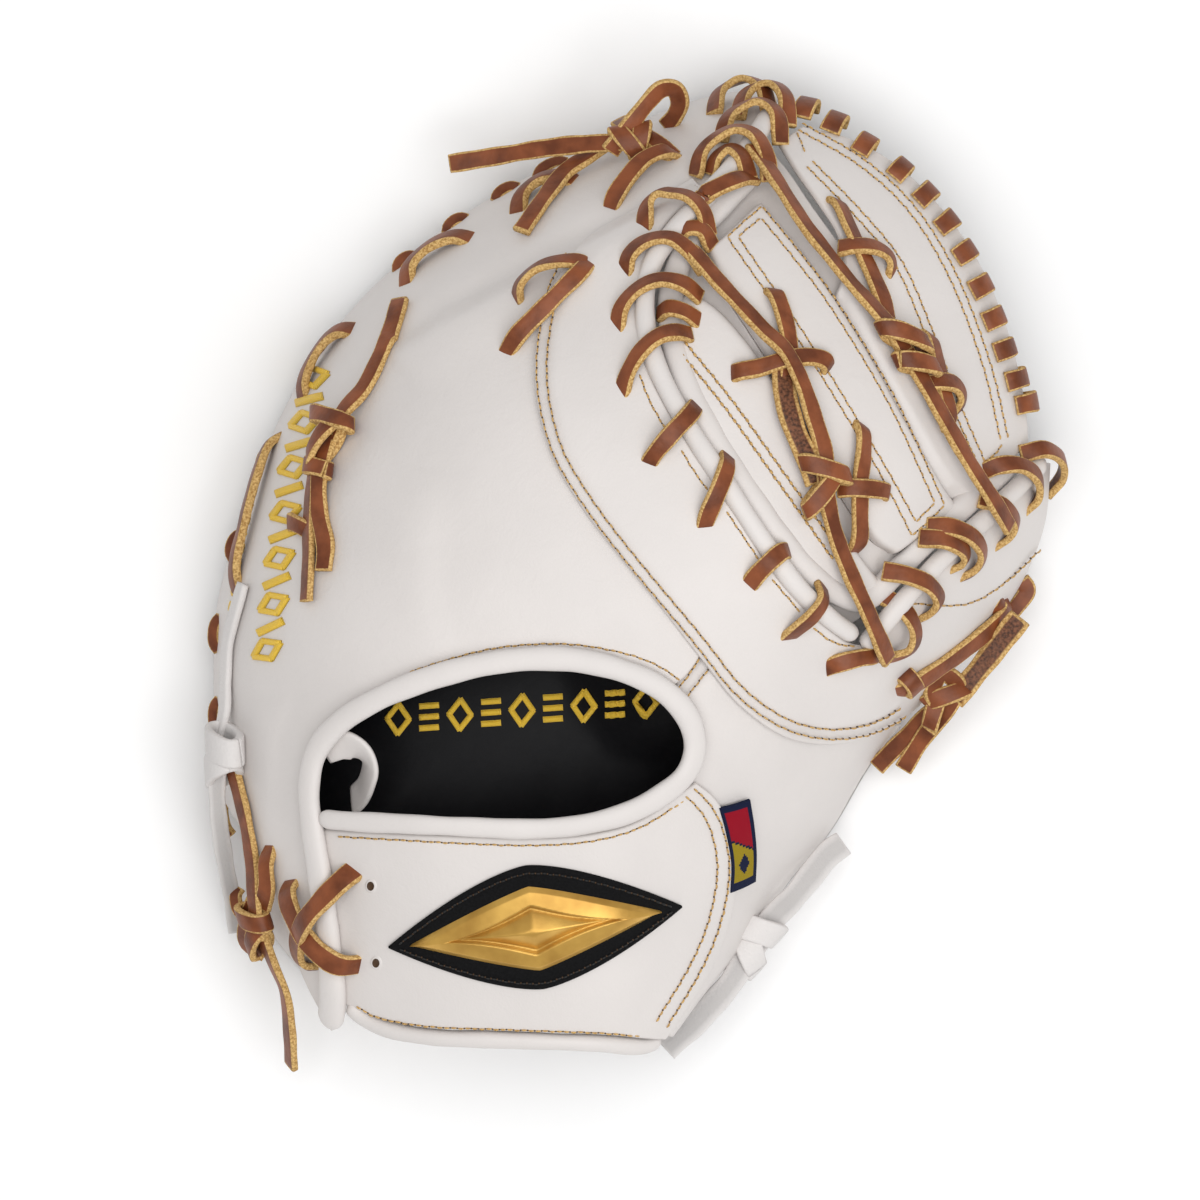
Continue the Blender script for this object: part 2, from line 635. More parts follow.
def roll(name, line, width, height, lift, node=None):
    """A rolled edge: an oval carried along a line of places at a lift over the dome, rounded off at
    both ends. A row may give its own lift and a factor on the width."""
    run = through([tuple(row) + (lift, 1.0)[len(row) - 2 :] for row in line], STEP)
    points, normals = back_face(run[:, :2], run[:, 2] * MM)
    side, up = frames_along(points, normals, np.zeros(len(points)))
    along = np.arange(len(points)) * STEP
    ends = np.clip(np.minimum(along, along[-1] - along) / (0.5 * width), 0, 1)
    swell = 1 + 0.035 * np.sin(along / 0.0061) + 0.02 * np.sin(along / 0.0023 + 1.3)
    swell = swell * run[:, 3] * np.maximum(0.06, np.sqrt(1 - (1 - ends) ** 2))
    section = round_section(width, height, 20, 0.9)
    body = swept(section, points, side, up, swell).reshape(-1, 3)
    return put_mesh(name, body, tube_faces(len(points), len(section)), [white_leather], node=node)


roll("opening_binding_roll", OPENING_BINDING, width=0.0072, height=0.0046, lift=2.6, node="opening_binding")
roll("strap_lower_roll", STRAP_ROLL, width=0.0052, height=0.0050, lift=-1.2, node="strap_lower_binding")
roll("web_welt_roll", WEB_WELT, width=0.0060, height=0.0054, lift=2.95, node="web_welt")
roll("thumb_welt_roll", THUMB_WELT, width=0.0060, height=0.0054, lift=2.95, node="thumb_welt")

# The web: an outer panel along the rim and two bars of folded leather, whose sides turn down.
# Bearing on the web's rim, at one share of the foot's reach, and the place across from it.
WEB_RIM_SHARE = 0.93
WEB_RIM = np.array([
    (67, 779, 140), (62, 796, 168), (57, 818, 200), (52, 838, 232), (47, 845, 266), (42, 838, 303),
    (37, 859, 345), (33, 881, 385), (29, 905, 428), (25.5, 928, 466), (22.6, 946, 492), (20, 968, 506),
])
# Places on a bar's two long sides.
MIDDLE_BAR = np.array([
    (708, 250, 762, 199), (722, 286, 791, 233), (748, 326, 821, 273), (775, 368, 849, 316),
    (800, 413, 876, 361), (824, 458, 900, 406), (848, 503, 924, 448), (874, 540, 945, 484),
    (896, 556, 961, 507),
])
INNER_BAR = np.array([
    (667, 318, 688, 290), (669, 356, 716, 306), (688, 400, 747, 340), (714, 446, 775, 381),
    (744, 492, 801, 427), (775, 536, 823, 475), (806, 576, 842, 526), (838, 604, 868, 564),
    (862, 612, 893, 594),
])
WEB_LEATHER = 0.0026
BAR_THICKNESS = 0.0046
BAR_ROLL = 0.0032
BAR_FALL = 0.62
OUTER_SINK = 0.0030
outer_places = ruled(rim_places(WEB_RIM[:, 0], WEB_RIM_SHARE), WEB_RIM[:, 1:], rows=170, columns=50)
# Its inner edge sinks under the middle bar.
UNDER_BAR = [(838, 300), (859, 345), (881, 385), (905, 428), (928, 466), (946, 492), (968, 506)]
outer_sink = -OUTER_SINK * near_line(outer_places, UNDER_BAR, 15)
hide("web_outer_hide", outer_places, 0.0, WEB_LEATHER, relief=outer_sink, node="web_outer_panel")


def bar_hide(name, sides, node):
    """A folded bar: flat on top, its two long sides rolling down over a quarter of a round."""
    places = ruled(sides[:, :2], sides[:, 2:], rows=150, columns=48)
    left = length_along(back_face(places)[0], 1)
    near = BAR_ROLL - np.minimum(np.minimum(left, left[:, -1:] - left), BAR_ROLL)
    relief = np.sqrt(np.maximum(0, BAR_ROLL**2 - near**2)) - BAR_ROLL
    return hide(name, places, 0.0, BAR_THICKNESS, relief=BAR_FALL * relief, node=node, soft_edge=0.3)


bar_hide("middle_bar_hide", MIDDLE_BAR, "web_middle_bar")
bar_hide("inner_bar_hide", INNER_BAR, "web_inner_bar")

# The stitching: gold waxed thread, in single and double rows. Each stitch is a short arch of
# thread that goes down into the leather at both ends, with a dark needle hole between stitches.
STITCH_PITCH = 7.0
STITCH_SHARE = 5.4 / 7.0  # of the pitch that the thread covers
THREAD = 0.00062
STITCH_WOBBLE = 0.35
NEEDLE_HOLE = 0.75
HOLE_TOP, HOLE_DEEP = 0.00006, -0.0003


def grained_look(name, values, scale, detail, shades, stops, strength, distance, fine=None):
    """One grain of noise sets the shade, between two shades over two stops, and the bump, unless
    the bump has a finer grain of its own."""
    look, shader, add = new_look(name, values)
    grain = noise(add, scale, Detail=detail)
    height = noise(add, fine) if fine else grain
    tone = ramp(add, grain, *shades, *stops)
    feed(shader, {"Base Color": tone, "Normal": bumped(add, height, strength, distance)})
    return look


# Twisted gold thread, lighter on its crown and darker in its twist.
gold_thread = grained_look(
    "gold_thread", {"Roughness": 0.42, "Sheen Weight": 0.3}, 2200, 2,
    ((0.30, 0.15, 0.035), (0.66, 0.41, 0.12)), (0.3, 0.62), 0.5, 0.0002,
)
needle_dark = leather_look("needle_holes", (0.07, 0.035, 0.015), wear=(0.07, 0.035, 0.015))


def stitched(name, lines, lift=0.0, thread=THREAD, pitch=STITCH_PITCH, look=None):
    """Stitches along lines of places, at one lift over the dome or one for each line: copies of
    one arched six-sided thread, and a small dark hole at each gap."""
    stations = np.linspace(-0.5, 0.5, 6)
    arch = np.cos(stations * math.pi * 0.98) ** 0.7
    girth = np.array((0.55, 0.95, 1.0, 1.0, 0.95, 0.55))
    ring = on_circle(np.linspace(0, 2 * math.pi, 6, endpoint=False))[None, None]
    square = NEEDLE_HOLE * np.array([(-1, -1), (1, -1), (1, 1), (-1, 1)])
    template = tube_faces(6, 6)
    block = np.array([(0, 1, 2, 3), (7, 6, 5, 4), (0, 4, 5, 1), (1, 5, 6, 2), (2, 6, 7, 3), (3, 7, 4, 0)])
    bodies, holes = [], []
    for line, over in zip(lines, np.broadcast_to(lift, len(lines))):
        ends = even_line(line, pitch)
        middles = (ends[:-1] + ends[1:]) / 2
        ways = unit(np.gradient(ends, axis=0)[:-1] if len(middles) > 1 else np.array([[1.0, 0.0]]))
        middles = middles + STITCH_WOBBLE * np.sin(np.arange(len(middles)) * 2.4)[:, None] * sideways(ways)
        places = middles[:, None] + ways[:, None] * (stations * pitch * STITCH_SHARE)[None, :, None]
        rise = over + 0.55 * thread * arch - 0.15 * thread
        points, normals = back_face(places, np.broadcast_to(rise, places.shape[:2]))
        way = unit(np.gradient(points, axis=1))
        side = np.cross(way, normals)
        round_it = side[:, :, None] * ring[..., :1] + np.cross(side, way)[:, :, None] * ring[..., 1:]
        radius = (girth * thread / 2)[None, :, None, None]
        bodies.append((points[:, :, None] + radius * round_it).reshape(-1, 3))
        if len(middles) > 1:
            spots = (middles[:-1] + middles[1:])[:, None] / 2 + ways[:-1, None] * square[None, :, :1]
            spots = spots + sideways(ways[:-1])[:, None] * square[None, :, 1:]
            flat = np.zeros(spots.shape[:2])
            levels = [back_face(spots, flat + over + level)[0] for level in (HOLE_TOP, HOLE_DEEP)]
            holes.append(np.concatenate(levels, axis=1).reshape(-1, 3))
    points = np.concatenate(bodies + holes)
    threads, dots = sum(len(b) for b in bodies), sum(len(h) for h in holes)
    quads = (template[None] + np.arange(0, threads, 36)[:, None, None]).reshape(-1, 4)
    dark = (block[None] + threads + np.arange(0, dots, 8)[:, None, None]).reshape(-1, 4)
    which = np.repeat((0, 1), (len(quads), len(dark)))
    looks = [look or gold_thread, needle_dark]
    put_mesh(name, points, np.concatenate([quads, dark]), looks, which=which)


def beside(line, *gaps):
    """Lines that run beside another at gaps from it."""
    return [offset_line(line, gap) for gap in gaps]


PANEL_STITCH = [
    (568, 258), (550, 290), (541, 330), (537, 370), (540, 410), (552, 455), (572, 492), (602, 535),
    (642, 585), (680, 630), (702, 658), (724, 687), (752, 712), (785, 730), (822, 737), (860, 733),
    (888, 722), (903, 712),
]
THUMB_STITCH = [(905, 600), (960, 600), (1000, 578), (1036, 545)]
stitched("panel_seam_stitches", beside(PANEL_STITCH, 2, 12) + beside(THUMB_STITCH, 0), PANEL_LIFT)
LAPPED_LIFT, OUTER_LIFT = 0.0009, 0.0013
STRAP_SEAM = [(690, 787), (706, 803), (719, 829), (725, 870), (716, 922), (696, 970), (662, 1026)]
STRAP_ROWS = [
    [(338, 836), (400, 839), (460, 842), (530, 844), (590, 840), (640, 826), (690, 795)],
    [(356, 1006), (380, 1018), (430, 1026), (490, 1028), (550, 1030), (600, 1032), (640, 1036)],
]
STRAP_LIFTS = (STRAP_LIFT, STRAP_LIFT, OUTER_LIFT, LAPPED_LIFT)
stitched("strap_stitches", STRAP_ROWS + beside(STRAP_SEAM, 1, -10), STRAP_LIFTS)
OPENING_ROWS = [
    [(410, 672), (440, 662), (480, 651), (520, 645), (570, 644), (620, 652), (655, 664), (680, 680)],
    [(676, 690), (690, 672), (702, 652)],
    [(686, 697), (699, 680), (712, 664)],
]
stitched("opening_stitches", OPENING_ROWS)
WEB_OUTER_RIM = [(798, 128), (860, 165), (910, 212), (950, 278), (983, 365), (1001, 440)]
WEB_OUTER_SIDE = [(812, 160), (862, 212), (902, 262), (931, 328), (957, 398), (985, 462)]
WEB_ROWS = [
    [(797, 130), (801, 140), (806, 152)], [(985, 462), (994, 455), (1003, 444)],
    [(727, 238), (744, 222), (762, 207)], [(762, 207), (800, 254), (838, 305), (895, 400), (944, 505)],
    [(944, 505), (928, 521), (911, 536)], [(911, 536), (872, 462), (800, 345), (727, 238)],
    [(738, 238), (750, 227), (761, 219)], [(761, 219), (794, 260), (831, 310), (887, 403), (934, 503)],
    [(934, 503), (924, 513), (915, 522)], [(915, 522), (880, 460), (808, 342), (738, 238)],
]
stitched("web_stitches", beside(WEB_OUTER_RIM, 0, 8) + beside(WEB_OUTER_SIDE, 0, -8) + WEB_ROWS)
INNER_SEAM = [(676, 349), (725, 410), (775, 480), (832, 560)]
stitched("inner_bar_stitches", beside(INNER_SEAM, 0, 10), thread=0.0009)
WELT_ROWS = [
    [(640, 378), (650, 405), (665, 432)], [(680, 452), (692, 472), (706, 492)],
    [(724, 512), (740, 536), (756, 560)], [(768, 578), (782, 594), (796, 610)],
    [(808, 624), (828, 638), (850, 642)],
]
stitched("welt_stitches", WELT_ROWS, PANEL_LIFT)

# The lacing: oiled rawhide strip, brown on its grain side, with raw golden cut edges and a fuzzy
# darker flesh side. It is threaded through holes punched in the hides and pulled tight.
LACE_WIDTH, LACE_THICK = 0.0056, 0.0022
CUT_END = 0.0005


def lace_look():
    """Brown grain with mottling and fine cross creases, golden fibres where the mark named raw is
    1, and dark fuzz where the mark named flesh is 1."""
    look, shader, add = new_look("brown_lace", {"Specular IOR Level": 0.3})

    def tone(low, high, scale, detail):
        return ramp(add, noise(add, scale, Detail=detail), low, high, 0.35, 0.65)

    def mark(name):
        sharp = {"Value": marked(add, name), "From Min": 0.35, "From Max": 0.65}
        return add("MapRange", sharp).outputs["Result"]

    grain = tone((0.130, 0.034, 0.011), (0.255, 0.074, 0.026), 120, 3)
    golden = tone((0.36, 0.19, 0.055), (0.74, 0.50, 0.20), 1500, 5)
    fuzz = tone((0.05, 0.018, 0.008), (0.20, 0.075, 0.034), 1100, 6)
    raw = mark("raw")
    feed(shader, {
        "Base Color": blend(add, raw, blend(add, mark("flesh"), grain, fuzz), golden),
        "Normal": bumped(add, noise(add, 700, Detail=5), 0.35, 0.0004),
        "Roughness": add("MapRange", {"Value": raw, "To Min": 0.42, "To Max": 0.9}).outputs["Result"],
    })
    return look


brown_lace = lace_look()


def lace_section(width, thick):
    """A flat strip's section, anticlockwise, with its cut edges bevelled, and for each corner the
    marks raw and flesh."""
    w, t = width / 2, thick / 2
    half = [
        (w, -0.5 * t, 1, 0), (w, 0.4 * t, 1, 0), (w - 0.0002, 0.8 * t, 1, 0), (w - 0.0005, 0.96 * t, 1, 0),
        (w - 0.00066, t, 0, 0), (0.3 * w, 1.05 * t, 0, 0),
    ]
    under = [
        (-w + 0.0004, -0.96 * t, 1, 0), (-0.4 * w, -t, 0, 1),
        (0.4 * w, -t, 0, 1), (w - 0.0004, -0.96 * t, 1, 0),
    ]
    return np.array(half + [(-x, y, raw, flesh) for x, y, raw, flesh in half[::-1]] + under)


def on_dome(rows, bank=0.0):
    """A strip's run over the dome, through rows of place, lift in mm and bank in degrees."""
    run = through(rows, STEP, bank)
    points, normals = back_face(run[:, :2], run[:, 2] * MM)
    return (points, *frames_along(points, normals, run[:, 3]))


def standing(places, height):
    """Points over places of the sheet at heights over the floor."""
    return np.concatenate([turned_up(places) * UNIT + DOME_AT, np.asarray(height)[..., None]], axis=-1)


def in_air(rows):
    """A strip's run through rows of place, height over the floor in mm and bank in degrees."""
    run = through(rows, STEP)
    points = standing(run[:, :2], run[:, 2] * MM)
    return (points, *frames_along(points, np.broadcast_to((0.0, 0.0, 1.0), points.shape), run[:, 3]))


def turned_over(run):
    """A strip's run with its flesh side up."""
    points, side, up = run
    return points, -side, -up


def turned_round(place, heading, wide, high, lean, start, lift=0.0, height=None):
    """A strip's run once round a core: an oval about an axis that lies in the leather on a
    heading, which leans across the core."""
    point, normal = back_face(np.array(place, float), np.array(lift * MM))
    if height is not None:
        point, normal = standing(np.array(place), height * MM), np.array((0.0, 0.0, 1.0))
    axis = unit(across_from(np.append(on_circle(np.radians(heading)), 0.0), normal))
    across = np.cross(normal, axis)
    count = max(12, int(2 * math.pi * (wide + high) / 4 / STEP))
    ring = on_circle(np.linspace(0, 2 * math.pi, count) + math.radians(start))
    c, s = ring[:, :1], ring[:, 1:]
    creep = axis * math.tan(math.radians(lean)) * wide / 2 * c
    points = point + across * wide / 2 * c + normal * high / 2 * s + creep
    way = unit(np.gradient(points, axis=0))
    up = unit(across_from(across * c * high + normal * s * wide, way))
    return points, np.cross(way, up), up


def laced(
    name, runs, look=brown_lace, width=LACE_WIDTH, thick=LACE_THICK, node=None, bank=0.0
):
    """Strips carried along their runs, in one piece: each swells and narrows a little, and its cut
    ends are marked raw. A run given as rows lies over the dome."""
    section = lace_section(width, thick)
    across = np.linspace(0, 1, len(section))[None]
    bodies, quads, marks, uvs, count = [], [], [], [], 0
    for number, run in enumerate(runs):
        points, side, up = on_dome(run, bank) if isinstance(run, list) else run
        along = length_along(points)[:, None]
        swell = 1 + 0.04 * np.sin(along / 0.0047 + number) + 0.03 * np.sin(along / 0.0019 + 2 * number)
        bodies.append(swept(section, points, side, up, swell[:, 0]).reshape(-1, 3))
        quads.append(tube_faces(len(points), len(section)) + count)
        ends = (np.minimum(along, along[-1] - along) < CUT_END)[..., None]
        marks.append(np.where(ends, (1.0, 0.0), section[None, :, 2:]).reshape(-1, 2))
        uvs.append(np.stack(np.broadcast_arrays(along / width, across), -1).reshape(-1, 2))
        count += len(bodies[-1])
    raw, flesh = np.concatenate(marks).T
    return put_mesh(
        name, np.concatenate(bodies), np.concatenate(quads), [look], uv=np.concatenate(uvs),
        marks={"raw": raw, "flesh": flesh}, node=node,
    )


# Whip lacing over the web's welt: out of the panel, over the welt, and down beside a web bar.
# Each row is a place, its lift over the dome in mm and its bank, which shows the raw edge.
TILT = 24
CROTCH_WHIPS = [
    [(645, 236, 0.5), (650, 220, 4.4), (668, 211, 6.8), (688, 213, 7.4), (702, 224, 5.6), (708, 238, 0.5)],
    [(625, 279, 0.5), (632, 263, 4.4), (650, 252, 6.4), (672, 251, 7.2), (692, 262, 4.6, 12),
     (704, 271, 0, 10)],
    [(617, 336, 0.5), (624, 316, 4.4), (640, 300, 6.2), (662, 292, 7.2), (684, 293, 5, 14),
     (700, 299, 0, 10)],
    [(621, 399, 0.5), (629, 380, 4.4), (643, 360, 6.4), (660, 346, 7, 20), (676, 339, 4.6, 10),
     (690, 336, 0, 0)],
    [(647, 467, 0.5, -10), (654, 457, 4.4, -10), (672, 437, 7.2, -10), (688, 419, 5.4, -14),
     (695, 407, 0, -14)],
    [(702, 531, 0.5, -14), (706, 515, 4.6, -14), (715, 492, 7.2, -20), (723, 471, 5.8, -24),
     (726, 457, 0, -24)],
    [(746, 587, 0.5, 14), (752, 574, 4.8, 14), (763, 561, 7.2, 14), (775, 552, 5.6, 14), (786, 551, 0, 14)],
    [(783, 638, 0.5, -18), (790, 624, 4.6, -18), (803, 608, 7.2, -22), (814, 596, 5.8, -24),
     (819, 586, 0.5, -24)],
    [(820, 668, 0.5, 30), (830, 656, 4.4, 30), (848, 648, 5.8, 28), (866, 646, 4.6, 20), (878, 641, 0, 10)],
    [(659, 316, 0, 6), (670, 315, 4, 6), (684, 317, 3.2, 6), (698, 321, -1, 6)],
    [(676, 245, 0, 8), (686, 238, 4.4, 8), (700, 238, 4.4, 8), (712, 246, -1, 8)],
]
laced("crotch_whips", CROTCH_WHIPS, node="crotch_lace", bank=TILT)
THUMB_WHIPS = [
    [(869, 658, 0.5, -20), (884, 648, 4.6, -22), (897, 636, 7), (901, 620, 7), (896, 605, 4),
     (884, 597, -1, -20)],
    [(914, 620, 0.5), (922, 605, 4.6), (923, 590, 7), (913, 577, 7.2), (897, 571, 5.2), (882, 571, 0, -20)],
    [(957, 580, 0.5), (966, 562, 4.8), (965, 545, 7), (955, 532, 7.2), (940, 525, 5.2), (926, 526, 0, -20)],
    [(948, 571, 0.5), (953, 557, 4.6), (948, 545, 6.8), (934, 537, 6), (918, 538, 0)],
    [(992, 549, 0.5), (998, 532, 4.8), (997, 517, 7), (988, 504, 6.4), (976, 499, 1, -20)],
    [(1023, 514, 0.5), (1026, 494, 4.8), (1018, 475, 7.2), (1005, 465, 6.6), (992, 465, 3.2, -16),
     (985, 471, -1, -10)],
    [(1050, 492, 0.5), (1050, 472, 4.8), (1041, 456, 7), (1029, 449, 6), (1020, 454, 0.5)],
]
laced("thumb_whips", THUMB_WHIPS, node="thumb_lace", bank=-TILT)
TIP_WHIPS = [
    [(715, 112, 0), (721, 101, 3.4), (735, 96, 5.2), (750, 96, 6.4), (764, 102, 5.4), (770, 112, 0.5)],
    [(738, 119, 0.5), (746, 107, 4.6), (760, 102, 6.4), (775, 104, 7.2), (785, 112, 6),
     (788, 126, 0.5, 20)],
    [(721, 142, 0.5), (730, 129, 4.6), (745, 122, 6.2), (761, 121, 7.4), (776, 128, 6), (781, 144, 0, 20)],
    [(696, 178, 0.5), (704, 163, 4.6), (720, 152, 6.2), (738, 148, 7.6), (755, 153, 7.2),
     (766, 168, 5, 16), (769, 182, 0, 12)],
    [(710, 176, 0.5), (718, 167, 4.2), (731, 163, 6), (742, 170, 5.8), (749, 184, 2)],
    [(690, 217, 0.5, -8), (700, 209, 4.4, -8), (720, 201, 6.4, -8), (740, 191, 5.4, -8), (754, 181, 1, -8)],
]
laced("fingertip_whips", TIP_WHIPS, node="fingertip_lace", bank=TILT)

# Running lace down the outer fingers, and the dabs of it that show past the dome's edge.
EDGE_LACE = [
    [(234, 596, -1.4), (238, 572, 1.8, 4), (250, 525, 2.8, 6), (262, 480, 2.8, 6), (272, 446, 1.8, 4),
     (277, 432, -1.4)],
    [(300, 400, -1.4), (306, 386, 1.8, 4), (318, 362, 2.8, 6), (332, 343, 2.8, 6), (343, 332, 1.6, 4),
     (351, 327, -1.4)],
    [(404, 283, -1.4), (411, 271, 1.8, 4), (426, 257, 2.8, 6), (444, 246, 2.8, 6), (459, 239, 1.6, 4),
     (470, 236, -1.4)],
    [(516, 211, -1.4), (523, 200, 1.8, 4), (535, 190, 2.8, 6), (549, 183, 2.8, 6), (562, 179, 1.6, 4),
     (574, 178, -1.4)],
]
EDGE_DABS = [
    (99, 94), (105, 101), (113, 109), (122, 118), (139, 134), (160, 155), (174, 169), (188, 182),
    (200, 194), (213, 207), (222, 218),
]
# One dab: shares of the way along it, with their lifts in mm, its share of the reach and its bank.
DAB_ROWS = ((0.10, -1), (0.25, 0.4), (0.5, 0.9), (0.75, 0.4), (0.90, -1))
DAB_SHARE, DAB_BANK = 0.99, -46


def dab_rows(start, end):
    """Rows of one dab that runs along the dome's edge between two bearings, in degrees."""
    return [
        (*rim_places(start + (end - start) * share, DAB_SHARE), lift, DAB_BANK) for share, lift in DAB_ROWS
    ]


laced("finger_lacing", EDGE_LACE, node="finger_lace", width=0.0060, thick=0.0026)
laced("finger_lacing_dabs", [dab_rows(*pair) for pair in EDGE_DABS], width=0.0042)

# The web's rim lace: a narrow strip that whips over the outer panel's edge, hole after hole.
RIM_WHIPS = [
    (808, 106), (837, 121), (867, 143), (902, 168), (927, 193), (948, 221), (966, 251), (982, 285),
    (995, 317), (1006, 348), (1018, 378), (1028, 402),
]
# How far out a whip is at each of its rows, and its lift in mm; its slant is a share of that reach.
RIM_SLANT = 0.16
RIM_HOOK = [(-12, 0.2), (-10, 1.4), (-5, 2.4), (2, 2.2), (7, 0.4), (8, -3)]


def rim_hook(tip):
    """One whip round the rim: outwards from its hole, over the edge, and down behind it."""
    tip = np.array(tip, float)
    out = unit(turned_up(tip)) * (1, -1)
    slant = RIM_SLANT * np.array((-out[1], out[0]))
    return [(*(tip + (out + slant) * reach), lift) for reach, lift in RIM_HOOK]


laced("rim_whips", [rim_hook(tip) for tip in RIM_WHIPS], node="web_rim_lace", width=0.0062, thick=0.0018)

# The long ties over the two web bars, and the crossed laces that hold the bars together. Each tie
# is a flat strip with a square cut end, knotted once half way down.
INNER_TIE = [
    [(690, 258, 4.6, 24), (697, 265, 4.4, 24), (716, 286, 3.4, 24), (738, 309, 3, 24), (762, 336, 3.6, 26),
     (780, 356, 5.4, 26), (796, 388, 5.8, 22), (808, 422, 5, 16), (818, 452, 4.2, 6), (822, 482, 4.4)],
    [(818, 470, 3.6), (822, 500, 3.4, 10), (830, 535, 3.4, 16), (843, 572, 4.2, 18), (856, 606, 6.6, 18),
     (872, 645, 8.4, 18)],
    [(781, 372, 2.4), (782, 400, 3.4), (790, 432, 4), (803, 462, 4), (812, 484, 3.2)],
]
laced("inner_bar_tie_strip", INNER_TIE[:2] + [
    turned_round((819, 472), -72, 0.0122, 0.0066, lean=34, start=200, lift=4.8),
    turned_round((815, 494), -72, 0.0122, 0.0060, lean=-34, start=180, lift=4.4),
], node="inner_bar_tie")
laced("inner_bar_tie_tail", [turned_over(on_dome(INNER_TIE[2]))], width=0.0070)
MIDDLE_TIE = [
    [(752, 158, 4.8, 22), (759, 166, 4.6, 24), (780, 196, 3.6, 26), (803, 231, 3, 26), (826, 262, 3.4, 26),
     (848, 292, 4.4, 26), (868, 316, 5.2, 22), (886, 338, 5, 10), (898, 356, 4.2)],
    [(894, 346, 3.4), (906, 366, 3.6, 4), (922, 396, 4, 8), (940, 430, 4.4, 10), (958, 466, 5.6, 10),
     (975, 500, 8, 8), (988, 522, 8.4, 8)],
]
laced("middle_bar_tie_strip", MIDDLE_TIE + [
    turned_round((895, 342), -62, 0.0118, 0.0066, lean=44, start=200, lift=5),
    turned_round((908, 368), -62, 0.0112, 0.0058, lean=34, start=160, lift=4.6),
], node="middle_bar_tie")
CROSSES = {
    "cross_lace_1": [
        [(771, 289, -3, 20), (774, 298, 1.8, 20), (782, 322, 2.4, 20), (787, 350, 2.4, 14),
         (784, 384, 2.2, 10), (782, 400, -2)],
        [(731, 374, -3), (738, 374, 1.8, 4), (756, 371, 2.4, 8), (782, 364, 4, 8), (808, 360, 2.6, 10),
         (823, 364, 1.8, 10), (829, 372, -3, 10)],
    ],
    "cross_lace_2": [
        [(860, 422, -3, 26), (860, 434, 1.6, 28), (859, 455, 2.4, 24), (856, 480, 2.6, 8),
         (855, 510, 2.6, 12), (855, 540, 2, 12), (854, 554, -3, 12)],
        [(836, 489, 1), (846, 489, 4), (866, 490, 4.2), (881, 492, 2.4), (889, 494, -3)],
    ],
    "cross_lace_3": [
        [(834, 197, -3, 24), (837, 208, 1.8, 28), (846, 230, 2.4, 28), (857, 254, 2.6, 20),
         (869, 280, 2.6, 12), (880, 308, 2.6, 10), (886, 322, 1, 10)],
        [(838, 250, 0.5, 10), (850, 252, 3.8, 14), (870, 254, 4, 20), (886, 262, 2.6, 26),
         (895, 278, -3, 26)],
    ],
    "cross_lace_4": [
        [(928, 331, -3, 20), (928, 342, 1.8, 24), (932, 362, 2.4, 20), (938, 390, 2.4, 8),
         (944, 418, 2.4, 4), (948, 432, -2)],
        [(918, 383, 0.5, 10), (930, 384, 4, 14), (947, 387, 3.8, 20), (957, 398, 2.4, 26),
         (960, 416, -3, 26)],
    ],
}
for cross_name, cross_runs in CROSSES.items():
    laced(cross_name + "_strips", cross_runs, node=cross_name)

# Laces on the back of the fingers: a vee where the panel's seam ends, and two knotted ties.
VEE = [
    [(516, 300, -1.5, 30), (522, 290, 2.2, 34), (540, 278, 4.2, 32), (560, 272, 4.8, 20),
     (580, 269, 3.8, 10), (592, 268, -0.5)],
    [(590, 264, 0.5, 10), (584, 279, 4.6, 18), (565, 299, 5.4, 20), (542, 321, 4.6, 20),
     (520, 340, 2.6, 18), (502, 356, -2, 10)],
]
laced("finger_vee_strips", VEE, node="finger_vee_lace")
FINGER_TIE = [
    [(403, 303, 1.8, 14), (395, 330, 1.8, 14), (383, 360, 1.8, 12), (368, 392, 2.2, 10), (352, 418, 4, 4),
     (340, 446, 4)],
    [(340, 440, 4), (330, 478, 4.2, 16), (325, 515, 2.2, 16), (330, 548, 1.8, 16), (328, 572, 1.8, 16)],
    [(332, 440, 3.2), (321, 475, 3, -14), (314, 515, 1.8, -16), (313, 560, 1.8, -16), (311, 602, 1.8, -16)],
    [(318, 536, -1, 20), (306, 528, 2.4, 20), (297, 524, 2.2, 20), (288, 522, -1, 20)],
]
laced("finger_tie_strips", FINGER_TIE + [
    turned_round((344, 426), 118, 0.0150, 0.0070, lean=34, start=200, lift=5),
    turned_round((338, 446), 118, 0.0130, 0.0064, lean=-36, start=160, lift=4.8),
    turned_round((328, 472), 104, 0.0092, 0.0052, lean=18, start=160, lift=4),
], node="finger_tie")
TIP_TAIL = [(449, 161, 22), (500, 153, 26), (545, 146, 32), (590, 142, 39), (632, 141, 45)]
TIP_LOOP = [
    (610, 150, 43, -20), (630, 124, 45.5, -24), (648, 101, 45, -26), (661, 88, 43, -30), (674, 87, 40, -30),
    (680, 99, 36, -24), (675, 114, 31, -16), (666, 124, 28, -10),
]
TIP_SHORT = [
    [(626, 132, 4.6), (640, 144, 5.2), (656, 150, 4.4), (675, 155, -1)],
    [(676, 152, -1, 16), (668, 160, 3.8, 20), (650, 170, 4.6, 20), (632, 186, 3.8, 20),
     (616, 201, 1.6, 20), (608, 208, -2, 10)],
    [(616, 152, 4.6, 20), (596, 164, 4, 20), (570, 178, 3.2, 20), (548, 203, 2.6, 20), (524, 236, 2.2, 20)],
]
laced("fingertip_tie_strips", [in_air(TIP_TAIL), in_air(TIP_LOOP)] + TIP_SHORT + [
    turned_round((628, 141), 8, 0.0086, 0.0056, lean=-34, start=200, height=45),
    turned_round((640, 139), 18, 0.0080, 0.0052, lean=30, start=160, height=44),
], node="fingertip_tie")

